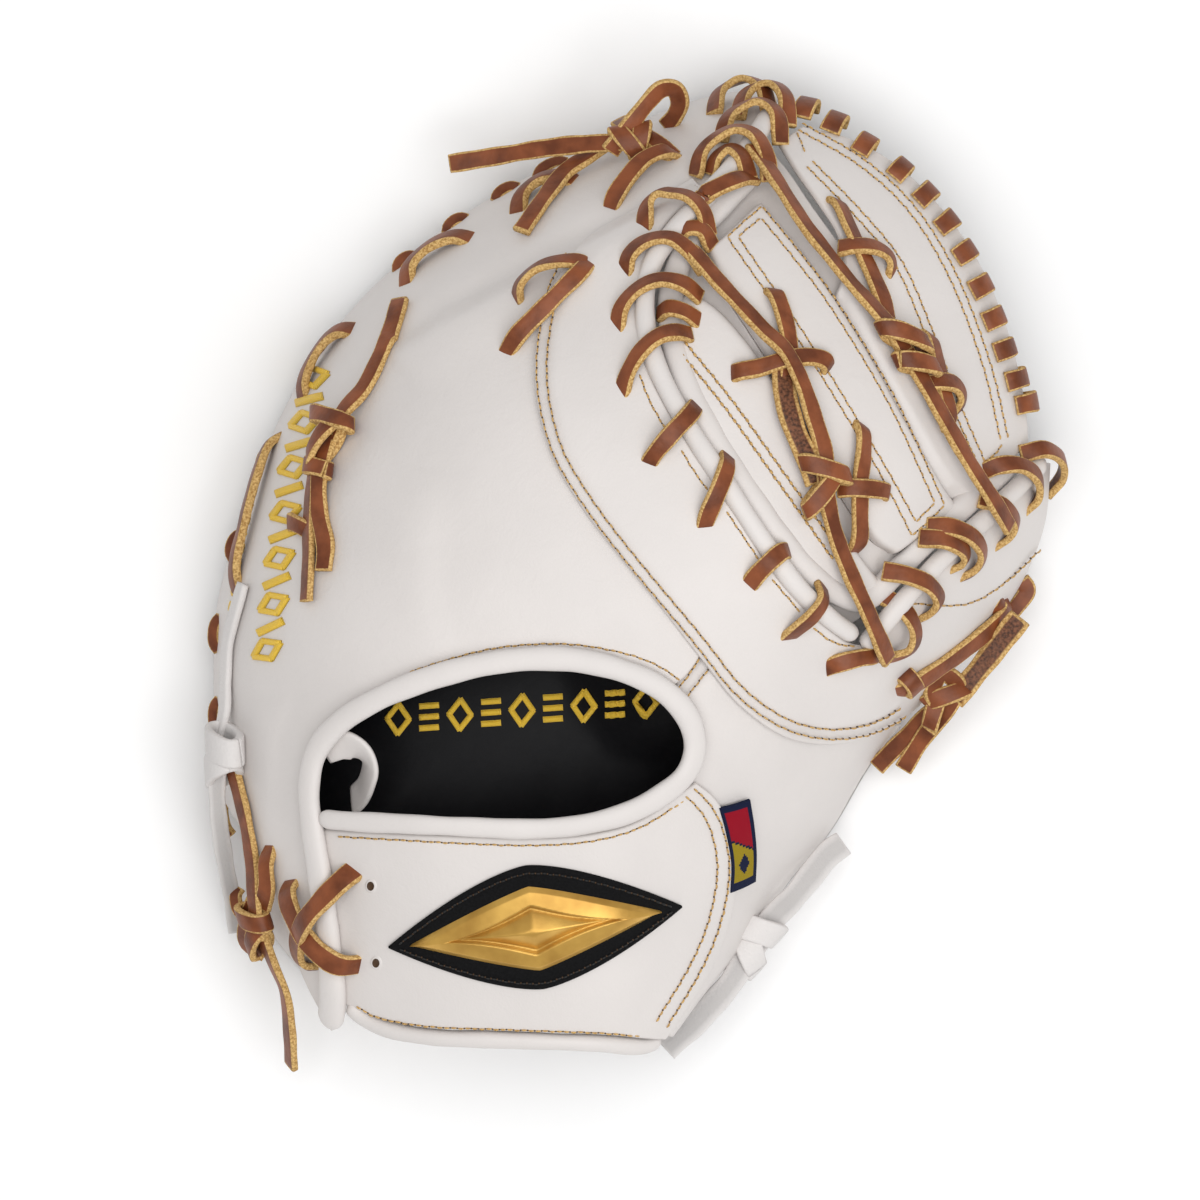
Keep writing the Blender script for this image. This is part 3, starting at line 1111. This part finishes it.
# The lace that closes the strap over the binding's tongue, crossed twice, and the knotted tie that
# hangs at the heel.
STRAP_CROSS = [
    [(356, 868, -3, -10), (350, 876, 2.8, -10), (338, 892, 6.6, -14), (323, 914, 8.6, -16),
     (311, 938, 6.2, -16), (308, 958, 3.4, -14), (314, 974, -3)],
    [(289, 879, -3, 10), (294, 891, 2.8, 12), (306, 910, 5.6, 14), (322, 931, 7.2, 16),
     (338, 947, 7.4, 16), (350, 958, 5.4, 14), (361, 967, -3, 10)],
]
laced("strap_cross_strips", STRAP_CROSS, node="strap_cross_lace", width=0.0068)
HEEL_TIE = [
    [(236, 764, 2, 8), (243, 790, 2, 8), (252, 826, 2.2, 8), (259, 866, 2.6, 8), (268, 905, 5, 4),
     (274, 935, 5.6)],
    [(272, 930, 4.4), (282, 962, 3.6, -12), (292, 990, 3.2, -14), (298, 1022, 4, -10),
     (306, 1056, 6.5, -6)],
    [(262, 900, 3, 30), (254, 922, 3.2, 30), (253, 944, 2.4, 30), (259, 958, -1.5, 20)],
    [(268, 846, -1.5), (272, 862, 2.4, 20), (274, 886, 3, 24), (270, 906, 3, 20)],
]
laced("heel_tie_strips", HEEL_TIE + [
    turned_round((266, 914), -76, 0.0122, 0.0064, lean=24, start=200, lift=4.8),
    turned_round((270, 936), -70, 0.0112, 0.0058, lean=-32, start=160, lift=4.4),
], node="heel_tie")

# The thumb's ties: one along the panel's lower edge through a bead, one knotted at the thumb's side.
THUMB_EDGE = [
    [(888, 690, -1), (898, 680, 4, 10), (916, 668, 4.6, 20), (950, 645, 4.4, 22), (980, 621, 4.4, 22),
     (999, 603, 3.6, 20), (1003, 596, -1.5, 10)],
    [(1003, 596, -1, -20), (996, 601, 2.4, -24), (990, 612, 1.2, -20)],
]
laced("thumb_edge_strips", THUMB_EDGE + [
    turned_round((901, 674), 30, 0.0080, 0.0050, lean=4, start=180, lift=4.4),
], node="thumb_edge_tie", width=0.0060)
THUMB_TAILS = [
    [(1022, 618, 33), (1006, 638, 31), (988, 661, 29), (968, 686, 27), (956, 700, 25)],
    [(956, 698, 26), (944, 716, 23), (926, 738, 18), (906, 770, 13)],
    [(950, 702, 24), (930, 716, 20), (908, 738, 15), (879, 768, 10)],
    [(940, 708, 25, -30), (934, 690, 29, -30), (944, 674, 31, -30), (958, 682, 28, -20),
     (962, 700, 22, -10)],
    [(1024, 580, 16), (1030, 590, 15), (1020, 606, 15), (1004, 622, 15)],
]
laced("thumb_tie_tail", [turned_over(in_air(THUMB_TAILS[0]))], width=0.0072)
laced("thumb_tie_strips", [in_air(rows) for rows in THUMB_TAILS[1:]] + [
    turned_round((948, 696), -42, 0.0110, 0.0062, lean=30, start=200, height=26),
    turned_round((936, 710), -42, 0.0104, 0.0056, lean=-28, start=160, height=24),
], node="thumb_tie")

# White thongs: soft split cowhide, grain on one side and napped on the other, knotted at the
# little finger's side and at the thumb's side, with their tails hanging.
WHITE_THONG = 0.0052
# White grain, and a grey nap where the mark named flesh is 1.
white_thong = leather_look(
    "white_thong", (0.70, 0.67, 0.655), grain=0.3, rough=0.62, wear=(0.50, 0.48, 0.47), worn="flesh"
)
THONG_TAIL = [
    (222, 752, 40), (216, 775, 36, 4), (216, 810, 30, 4), (222, 860, 21, 4), (230, 905, 13, 2),
    (234, 934, 9),
]
THONG_TOP = [
    (247, 585, 1.8), (241, 606, 1.8, 4), (232, 640, 1.8, 8), (229, 680, 1.8, 8), (230, 712, 2.4, 4),
    (229, 742, 4.6),
]
laced(
    "little_finger_thong_strips", [THONG_TOP, turned_over(in_air(THONG_TAIL))], look=white_thong,
    width=WHITE_THONG, node="little_finger_thong",
)
laced("little_finger_knot", [
    turned_round((238, 744), 84, 0.0140, 0.0082, lean=20, start=200, lift=4.8),
    turned_round((237, 765), 84, 0.0136, 0.0082, lean=-24, start=160, lift=4.8),
], look=white_thong, width=0.0086, thick=0.0026)
THUMB_THONG = [
    [(845, 845, 17), (830, 856, 18), (812, 878, 20), (796, 898, 22), (776, 918, 25), (760, 938, 26)],
    [(762, 936, 26), (748, 958, 27), (732, 984, 28), (702, 1018, 28), (666, 1052, 28)],
]
laced("thumb_thong_strips", [turned_over(in_air(rows)) for rows in THUMB_THONG] + [
    turned_round((758, 932), 48, 0.0120, 0.0076, lean=-24, start=200, height=27),
    turned_round((750, 950), 48, 0.0120, 0.0074, lean=30, start=160, height=26),
], look=white_thong, width=0.0078, node="thumb_thong")

# Behind the bars the web is lined: one thinner sheet from the crotch to the outer panel, and a
# plain inner roll beside each welt, where the pocket's leather is turned over.
CROTCH_SIDE = [
    (722, 196), (690, 232), (668, 270), (662, 316), (670, 360), (692, 406), (722, 455), (756, 505),
    (788, 548), (812, 588), (850, 634), (888, 606), (918, 560), (955, 520), (990, 494),
]
RIM_SIDE = [
    (776, 146), (792, 166), (812, 196), (832, 224), (852, 252), (872, 284), (888, 312), (902, 340),
    (914, 368), (926, 394), (938, 420), (950, 446), (962, 466), (974, 482), (992, 490),
]
# The sheet lies under the bars, and rises at its outer side.
SHEET_ROWS, SHEET_COLUMNS = 120, 50
SHEET_LIFT, SHEET_THICK, SHEET_RISE = -0.0050, 0.0016, 0.0022
web_lining_places = ruled(CROTCH_SIDE, RIM_SIDE, SHEET_ROWS, SHEET_COLUMNS)
sheet_share = np.broadcast_to(eased(SHEET_COLUMNS), (SHEET_ROWS, SHEET_COLUMNS))
sheet_rise = SHEET_RISE * smooth_step(sheet_share, 0.78, 1)
hide("web_lining_sheet", web_lining_places, SHEET_LIFT, SHEET_THICK, relief=sheet_rise)
INNER_ROLL = [
    (752, 168), (726, 196), (700, 226), (680, 258), (670, 300), (672, 340), (686, 384), (710, 432),
    (742, 482), (776, 532), (806, 568), (838, 594), (868, 600), (900, 572), (932, 540), (966, 508),
    (996, 482), (1018, 462),
]
roll("web_inner_roll", INNER_ROLL, width=0.0076, height=0.0056, lift=-1.6)

# The palm: thick leather padded with felt. A stuffed rim stands on the table, and the bed that the
# hand lies on rises from it to the pocket's edge, where it is sewn in under the back.
PALM_CROWN = 0.058
PALM_PADDING = 0.0068
RIM_PAD = 0.009
WALL_DEPTH = 0.0034
# Where the bed starts to climb to the pocket's edge, and how far it is tucked in under the back.
CLIMB_START, TUCKED_UNDER = 0.66, 0.001
# Bearing, share of the foot's reach, and the place on the pocket's edge.
PALM_ROWS = np.array([
    (73, 0.98, 736, 158), (79, 1, 720, 170), (86, 1, 688, 188), (94, 1, 650, 208), (103, 1, 614, 240),
    (113, 1, 590, 285), (125, 1, 582, 335), (138, 1, 590, 390), (152, 1, 612, 440), (166, 1, 640, 490),
    (180, 1, 666, 530), (194, 1, 686, 560), (208, 1, 702, 584), (222, 1, 716, 602), (236, 1, 730, 618),
    (250, 1, 745, 632), (264, 1, 760, 645), (278, 1, 775, 656), (292, 1, 790, 666), (306, 1, 806, 676),
    (320, 1, 826, 684), (327, 1, 838, 685), (334, 1, 850, 684), (340, 1, 866, 678), (346, 1, 882, 670),
    (351, 1, 898, 658), (357, 1, 916, 642), (365, 1, 948, 606), (372, 1, 984, 568), (378, 0.98, 1018, 520),
])
# How much shorter the palm's foot is at the heel, and its wall's height as a share of the crown,
# at the same bearings as the back's reach.
PALM_BEARINGS = np.arange(0, 361, BEARING_STEP)
HEEL_INSET = np.array([0] * 14 + [6, 16, 58, 158, 176, 42, 2, 0, 0, 0, 0])
WALL_SHARE = np.array(
    [0.16] * 12 + [0.18, 0.22, 0.30, 0.36, 0.26, 0.16, 0.16, 0.22, 0.26, 0.18] + [0.16] * 3
)


def under_back(places, depth):
    """Heights of the back's inner face over places: the share along each place's bearing is closed
    in on by halves, until the sunk point stands over the place."""
    offset = turned_up(places)
    wanted = np.hypot(offset[..., 0], offset[..., 1])
    way = (places - DOME_MIDDLE) / np.maximum(wanted, 1e-6)[..., None]
    reach = foot_reach(offset)
    sunk = np.full(wanted.shape, -depth)
    low, high = np.zeros(wanted.shape), np.ones(wanted.shape)
    for _ in range(15):
        middle = (low + high) / 2
        points, _ = back_face(DOME_MIDDLE + way * (middle * reach)[..., None], sunk)
        short = np.hypot(points[..., 0] - DOME_AT[0], points[..., 1] - DOME_AT[1]) / UNIT < wanted
        low, high = np.where(short, middle, low), np.where(short, high, middle)
    return points[..., 2]


def palm_bed(places):
    """Height of the hand's bed: a dome like the back's, lower, whose wall height goes by bearing."""
    offset = turned_up(places)
    bearing = np.degrees(np.arctan2(offset[..., 1], offset[..., 0])) % 360
    wall = np.interp(bearing, PALM_BEARINGS, WALL_SHARE) * PALM_CROWN
    reach = foot_reach(offset) - np.interp(bearing, PALM_BEARINGS, HEEL_INSET) - WALL_DEPTH / UNIT
    share = np.minimum(1, np.hypot(offset[..., 0], offset[..., 1]) / reach)
    return wall + (PALM_CROWN - wall) * (1 - share**SQUARENESS) ** (1 / FULLNESS)


def palm_grid(first, last, shares, rows):
    """Places and heights of the palm between two rows, at shares of the way in from its rim."""
    table = catmull(PALM_ROWS, np.linspace(first, last, rows))
    way = on_circle(np.radians(table[:, 0]))
    inset = np.interp(table[:, 0] % 360, PALM_BEARINGS, HEEL_INSET)
    reach = (foot_reach(way) - inset - WALL_DEPTH / UNIT) * table[:, 1]
    outer = DOME_MIDDLE + (1, -1) * way * reach[:, None]
    inner = table[:, 2:]
    length = np.linalg.norm(inner - outer, axis=1) * UNIT
    shares = np.broadcast_to(shares, (rows, np.shape(shares)[-1]))
    places = outer[:, None] * (1 - shares)[..., None] + inner[:, None] * shares[..., None]
    climb = smooth_step(shares, CLIMB_START, 1)
    ceiling = under_back(places, WALL_DEPTH)
    height = np.minimum(palm_bed(places) * (1 - climb) + ceiling * climb, ceiling) - TUCKED_UNDER * climb
    return places, height, length


SOLE_HEM = 0.0015
SOLE_BAND = 0.020
RIM_POWER = 2.6
palm_shares = np.concatenate([eased(9)[:-1] * 0.12, np.linspace(0.12, 1, 46)])
palm_places, palm_height, palm_length = palm_grid(0, len(PALM_ROWS) - 1, palm_shares, 300)
palm_in = palm_shares[None] * palm_length[:, None]
foot = np.clip(palm_in / RIM_PAD, 0, 1)
rim_round = (1 - (1 - foot) ** RIM_POWER) ** (1 / RIM_POWER)
sole_lift = smooth_step(palm_in, RIM_PAD, RIM_PAD + SOLE_BAND)
palm_top = standing(palm_places, np.maximum(palm_height * rim_round, SOLE_HEM))
sole_height = (palm_height - PALM_PADDING) * sole_lift + SOLE_HEM * (1 - np.minimum(1, foot * 3))
palm_sole = standing(palm_places, sole_height)
shell("palm_padding", palm_top, palm_sole, white_leather, node="palm_shell")

# The palm's lining: soft black leather over the hand's bed, smooth with use, and embroidered along
# the bed in satin-stitched gold with a plain row of lozenges and bars.
black_lining = leather_look(
    "black_lining", (0.005, 0.005, 0.006), grain=0.06, rough=0.42, wear=(0.01, 0.01, 0.01), crease=0.15,
    shine=0.1,
)
LINING_FACE, LINING_UNDER = 0.0016, 0.0004
# The lining's first and last row of the palm's, and the share of the way in where it starts: nearer
# the rim on the little finger's side than on the thumb's, with a change between two rows.
LINING_ROWS = (7.6, 20.4)
FINGER_START, THUMB_START = 0.14, 0.26
START_CHANGES = (14.5, 16.5)
start_step = smooth_step(np.linspace(*LINING_ROWS, 160), *START_CHANGES)[:, None]
lining_start = FINGER_START + (THUMB_START - FINGER_START) * start_step
lining_shares = lining_start + (1 - lining_start) * np.linspace(0, 1, 66)
lining_places, lining_height, _ = palm_grid(*LINING_ROWS, lining_shares, 160)
lining_faces = [standing(lining_places, lining_height + over) for over in (LINING_FACE, LINING_UNDER)]
shell("palm_lining_sheet", *lining_faces, black_lining, node="palm_lining", slot="black_lining")


def satin_look():
    """Shining gold embroidery thread lying side by side, each a fine ridge across the motif."""
    look, shader, add = new_look("gold_satin", {"Specular IOR Level": 0.3, "Roughness": 0.36})
    ridges = {"Vector": place_in(add, "UV"), "Scale": 5.5, "Distortion": 0.6, "Detail": 1}
    wave = add("TexWave", ridges).outputs["Fac"]
    tone = ramp(add, wave, (0.55, 0.27, 0.012), (1.0, 0.68, 0.075), 0, 0.4)
    feed(shader, {"Base Color": tone, "Normal": bumped(add, wave, 0.5, 0.0003)})
    return look


gold_satin = satin_look()
SATIN_SEAT, SATIN_DEPTH = 0.00012, 0.0006
PAD_ROWS, PAD_COLUMNS = 21, 9


def heading_ways(heading):
    """The ways along and across a heading in degrees, on the sheet."""
    aim = math.radians(heading)
    return np.array((math.cos(aim), -math.sin(aim))), np.array((math.sin(aim), math.cos(aim)))


def embroidered(name, motifs, seat, relief=0.0009):
    """Raised satin pads in one mesh. A motif is its middle, heading, half length, half width and
    how far it narrows to its ends; its height is a crown across it that dies at its border."""
    v, u = np.meshgrid(np.linspace(-1, 1, PAD_COLUMNS), np.linspace(-1, 1, PAD_ROWS))
    crown = np.sqrt(np.maximum(0, 1 - np.abs(v) ** 3)) * np.sqrt(np.maximum(0, 1 - np.abs(u) ** 8))
    bodies, quads, uvs = [], [], []
    for x, y, heading, half_length, half_width, narrow in motifs:
        along, across = heading_ways(heading)
        half = half_width * (1 - narrow * np.abs(u))
        places = np.array((x, y)) + along * (u * half_length)[..., None] + across * (v * half)[..., None]
        base, normal = seat(places)
        top = base + normal * (relief * crown + SATIN_SEAT)[..., None]
        body, faces = closed_sheet(top, base - normal * SATIN_DEPTH)
        quads.append(faces + len(body) * len(bodies))
        bodies.append(body)
        uv = np.stack([(u * half_length + x * 0.7) / 12, v * 0.3], axis=-1).reshape(-1, 2)
        uvs += [uv, uv]
    points, faces = np.concatenate(bodies), np.concatenate(quads)
    put_mesh(name, points, faces, [gold_satin], uv=np.concatenate(uvs))


def lining_height_at(places):
    """The lining's height under places: the mean of the points of its grid, each weighted by the
    inverse square of its squared distance."""
    gap = ((places[..., None, :] - lining_places.reshape(-1, 2)) ** 2).sum(-1)
    weight = 1 / (gap + 4.0) ** 2
    return (weight * lining_height.ravel()).sum(-1) / weight.sum(-1) + LINING_FACE


def lining_seat(places):
    """Points and normals of the lining's face under places, from the slope of its height."""
    step = 4.0
    middle = lining_height_at(places)
    slopes = [middle - lining_height_at(places + way) for way in ((step, 0), (0, -step))]
    normal = np.stack([slopes[0] / (step * UNIT), slopes[1] / (step * UNIT), np.ones_like(middle)], -1)
    return standing(places, middle), unit(normal)


def open_lozenge(x, y, heading, long, wide, stroke):
    """Four strokes along the sides of a lozenge, whose long half diagonal lies on the heading."""
    along, across = heading_ways(heading)
    lean, half = math.degrees(math.atan2(wide, long)), math.hypot(wide, long) / 2 + 0.4 * stroke
    middle, half_long, half_wide = np.array((x, y)), along * long / 2, across * wide / 2
    return [
        (*(middle + half_long * a + half_wide * b), heading + lean * a * b, half, stroke, 0.0)
        for a in (-1, 1) for b in (-1, 1)
    ]


LINING_MOTIFS = []
MOTIF_START, MOTIF_STEP = np.array((398, 719)), np.array((31, -2.2))
BAR_GAPS = (-11, 0, 11)
for motif in range(9):
    x, y = MOTIF_START + MOTIF_STEP * motif
    bars = [(x, y + gap, 4, 10, 3.0, 0.0) for gap in BAR_GAPS]
    LINING_MOTIFS += bars if motif % 2 else open_lozenge(x, y, heading=88, long=15, wide=11, stroke=2.8)
embroidered("lining_embroidery", LINING_MOTIFS, lining_seat)

# Embroidery down the little finger's side: the same plain lozenges and bars, larger.
SIDE_LINE = even_line([(312, 376), (302, 430), (290, 480), (281, 545), (274, 600), (267, 650)], 24.0)
SIDE_MOTIFS = []
for motif, (x, y) in enumerate(SIDE_LINE):
    heading = 12 + 1.2 * motif
    bar = [(x, y, heading, 15, 4.2, 0.0)]
    SIDE_MOTIFS += bar if motif % 2 else open_lozenge(x, y, heading, long=15, wide=10, stroke=3.2)
embroidered("finger_embroidery", SIDE_MOTIFS, back_face)
SMALL_LINE = even_line([(252, 490), (243, 530), (232, 590), (226, 640), (222, 680)], 15.0)
SMALL_MOTIFS = [(x, y, 78, 5, 3.0, 0.9 if k % 2 else 0.1) for k, (x, y) in enumerate(SMALL_LINE)]
embroidered("finger_embroidery_small", SMALL_MOTIFS, back_face, relief=0.0004)

# The finger loop: a short tab of the same leather inside the opening, rolled back on itself.
LOOP_LINE = [
    (322, 748, -1.0), (338, 744, -1.6), (352, 750, -3.4), (357, 764, -6.4), (350, 780, -9.5),
    (338, 796, -12.0), (326, 806, -13.0),
]
LOOP_WIDTH, LOOP_THICK, LOOP_BANK = 0.0105, 0.0020, -28.0
loop_run = through(LOOP_LINE, STEP)
loop_points, loop_normals = back_face(loop_run[:, :2], loop_run[:, 2] * MM)
loop_axes = frames_along(loop_points, loop_normals, np.full(len(loop_run), LOOP_BANK))
loop_section = round_section(LOOP_WIDTH, LOOP_THICK, power=0.5)
loop_body = swept(loop_section, loop_points, *loop_axes).reshape(-1, 3)
loop_faces = tube_faces(len(loop_points), len(loop_section))
put_mesh("finger_loop_tab", loop_body, loop_faces, [white_leather], node="finger_loop")

# The strap's patch: black felt cut as a plain lozenge, sewn down round its rim in black, with a
# moulded gold lozenge on it whose faces meet in ridges.
PATCH_MIDDLE = np.array((535.0, 925.0))
PATCH_HALF = (146.0, 62.0)
EMBLEM_HALF = (122.0, 42.0)
PATCH_TURN = math.radians(8)
PATCH_BOW, EMBLEM_BOW = 1.5, 1.15
FELT_FACE, FELT_UNDER, FELT_DROP, FELT_ROUND = 0.0018, 0.0004, 0.0007, 0.0014
EMBLEM_FACE, EMBLEM_UNDER, EMBLEM_BEVEL = 0.0019, 0.0016, 0.0016
# How much the bevel, the outer faces and the core rise, and how far the groove round the core sinks.
BEVEL_RISE, FACE_RISE, CORE_RISE, GROOVE_SINK = 0.0009, 0.0026, 0.0026, 0.0020

# Matt black felt with short fibres, and satin gold paint over moulded rubber, worn in patches.
patch_felt = grained_look(
    "patch_felt", {"Roughness": 0.92, "Specular IOR Level": 0.1}, 1600, 4,
    ((0.002, 0.002, 0.002), (0.012, 0.012, 0.013)), (0, 1), 0.7, 0.0003,
)
gold_paint = grained_look(
    "gold_emblem", {"Metallic": 0.55, "Roughness": 0.34}, 60, 4,
    ((0.38, 0.19, 0.030), (0.74, 0.45, 0.10)), (0.3, 0.7), 0.12, 0.0002, fine=900,
)


def lozenge_places(half_length, half_width, fullness, rows, columns):
    """Places of a lozenge with bowed sides: its half width falls with the share along it."""
    u = np.sin(np.linspace(-math.pi / 2, math.pi / 2, rows))
    v = np.sin(np.linspace(-math.pi / 2, math.pi / 2, columns))
    half = half_width * (1 - 0.985 * np.abs(u) ** fullness)
    x = np.broadcast_to((u * half_length)[:, None], (rows, columns))
    y = half[:, None] * v[None]
    c, s = math.cos(PATCH_TURN), math.sin(PATCH_TURN)
    places = np.stack([PATCH_MIDDLE[0] + x * c + y * s, PATCH_MIDDLE[1] - x * s + y * c], axis=-1)
    return places, np.abs(u)[:, None], np.abs(v)[None]


felt_places, _, _ = lozenge_places(*PATCH_HALF, PATCH_BOW, rows=121, columns=41)
felt_seat, felt_normal = back_face(felt_places)
felt_drop = FELT_DROP * (1 - np.minimum(1, inward(felt_seat) / FELT_ROUND)) ** 2
felt_top = felt_seat + felt_normal * (FELT_FACE - felt_drop)[..., None]
felt_under = felt_seat + felt_normal * FELT_UNDER
shell("strap_patch_felt", felt_top, felt_under, patch_felt, node="strap_patch", slot="patch_felt")
emblem_places, emblem_u, emblem_v = lozenge_places(*EMBLEM_HALF, EMBLEM_BOW, rows=161, columns=81)
emblem_seat, emblem_normal = back_face(emblem_places)
bevel = np.minimum(1, inward(emblem_seat) / EMBLEM_BEVEL)
outer_face = 1 - emblem_v * np.ones_like(emblem_u)
# How far in a point lies from the sides of the inner lozenge, which a groove sets off.
inner_share = 1 - emblem_u - 1.25 * emblem_v
groove = smooth_step(inner_share, 0.26, 0.36)
core = np.clip((inner_share - 0.40) / 0.5, 0, 1)
emblem_rise = BEVEL_RISE * bevel + FACE_RISE * outer_face * (1 - 0.55 * emblem_u)
emblem_rise += CORE_RISE * core**0.8 - GROOVE_SINK * groove
emblem_top = emblem_seat + emblem_normal * (EMBLEM_FACE + emblem_rise)[..., None]
emblem_under = emblem_seat + emblem_normal * EMBLEM_UNDER
shell("strap_emblem", emblem_top, emblem_under, gold_paint, node="patch_emblem", slot="gold_emblem")
black_thread = leather_look("black_thread", (0.012, 0.012, 0.012), rough=0.6, wear=(0.012, 0.012, 0.012))


def felt_rim(side):
    """The stitch line just inside one long side of the felt."""
    rim_line, _, _ = lozenge_places(PATCH_HALF[0] - 10, PATCH_HALF[1] - 7, PATCH_BOW, rows=41, columns=3)
    return rim_line[2:-2, side]


felt_rims = [felt_rim(side) for side in (0, 2)]
stitched("patch_stitches", felt_rims, FELT_FACE + 0.0001, pitch=6.0, look=black_thread)

# Eyelets punched in the strap, left empty, each a small dark hole with a pressed rim.
EYELETS = [(372, 885), (377, 962)]
# Rings of an eyelet from its middle out: radius, and lift over the strap in mm.
EYELET_RINGS = np.array([(0.01, 0.10), (3.8, 0.12), (4.6, 0.40), (5.8, 0.42), (7.6, -0.10)])
EYELET_SIDES = 20
DARK_RINGS = 2
eyelet_way = on_circle(np.linspace(0, 2 * math.pi, EYELET_SIDES, endpoint=False)) * (0.8, 1)
eyelet_lift = np.broadcast_to(STRAP_LIFT + EYELET_RINGS[:, 1:] * MM, (len(EYELET_RINGS), EYELET_SIDES))
eyelet_faces = grid_quads(len(EYELET_RINGS), EYELET_SIDES, around=True)
eyelet_dark = (np.arange(len(eyelet_faces)) < DARK_RINGS * EYELET_SIDES).astype(int)
for number, middle in enumerate(EYELETS, 1):
    places = np.array(middle) + EYELET_RINGS[:, :1, None] * eyelet_way
    points = back_face(places, eyelet_lift)[0].reshape(-1, 3)
    put_mesh(f"eyelet_{number}", points, eyelet_faces, [white_leather, needle_dark], which=eyelet_dark)

# The side label: a folded woven tab caught in the strap's seam, red over yellow on navy.
LABEL_LIFT, LABEL_UNDER = 0.0016, 0.0008
LABEL_ROWS, LABEL_COLUMNS = 60, 30


def label_look(name, shade):
    """Woven ribbon: fine crossed threads of one colour."""
    look, shader, add = new_look(name, {"Roughness": 0.8, "Specular IOR Level": 0.15})
    shades = {"Color1": (*(0.7 * c for c in shade), 1), "Color2": (*shade, 1)}
    weave = add("TexChecker", {"Vector": place_in(add, "UV"), "Scale": 90, **shades})
    bump = bumped(add, weave.outputs["Fac"], 0.5, 0.0002)
    feed(shader, {"Base Color": weave.outputs["Color"], "Normal": bump})
    return look


label_places = patch_places(
    [(716, 806), (732, 802), (747, 797)], [(727, 891), (740, 886), (752, 880)],
    [(716, 806), (723, 832), (728, 862), (727, 891)], [(747, 797), (751, 824), (753, 852), (752, 880)],
    LABEL_ROWS, LABEL_COLUMNS,
)
label_seat, label_normal = back_face(label_places)
label_faces = [label_seat + label_normal * lift for lift in (LABEL_LIFT, LABEL_UNDER)]
label_navy = label_look("label_navy", (0.005, 0.010, 0.042))
label = shell("side_label_tab", *label_faces, label_navy, node="side_label", slot="label_cloth")
label.data.materials.append(label_look("label_red", (0.33, 0.002, 0.016)))
label.data.materials.append(label_look("label_yellow", (0.36, 0.26, 0.012)))
# Which colour each face has: a navy border, red, a slanted navy line, yellow, and a navy lozenge.
down, over = np.meshgrid(eased(LABEL_ROWS)[:-1], eased(LABEL_COLUMNS)[:-1], indexing="ij")
inside = (over > 0.08) & (over < 0.84) & (down > 0.06)
band_of = np.where(inside & (down < 0.36 + 0.22 * over), 1, 0)
band_of = np.where(inside & (down > 0.39 + 0.22 * over) & (down < 0.90), 2, band_of)
band_of = np.where(np.abs(down - 0.70) / 0.13 + np.abs(over - 0.46) / 0.22 < 1, 0, band_of)
band_faces = np.zeros(len(label.data.polygons), np.int32)
band_faces[: band_of.size] = band_of.ravel()
label.data.polygons.foreach_set("material_index", band_faces)
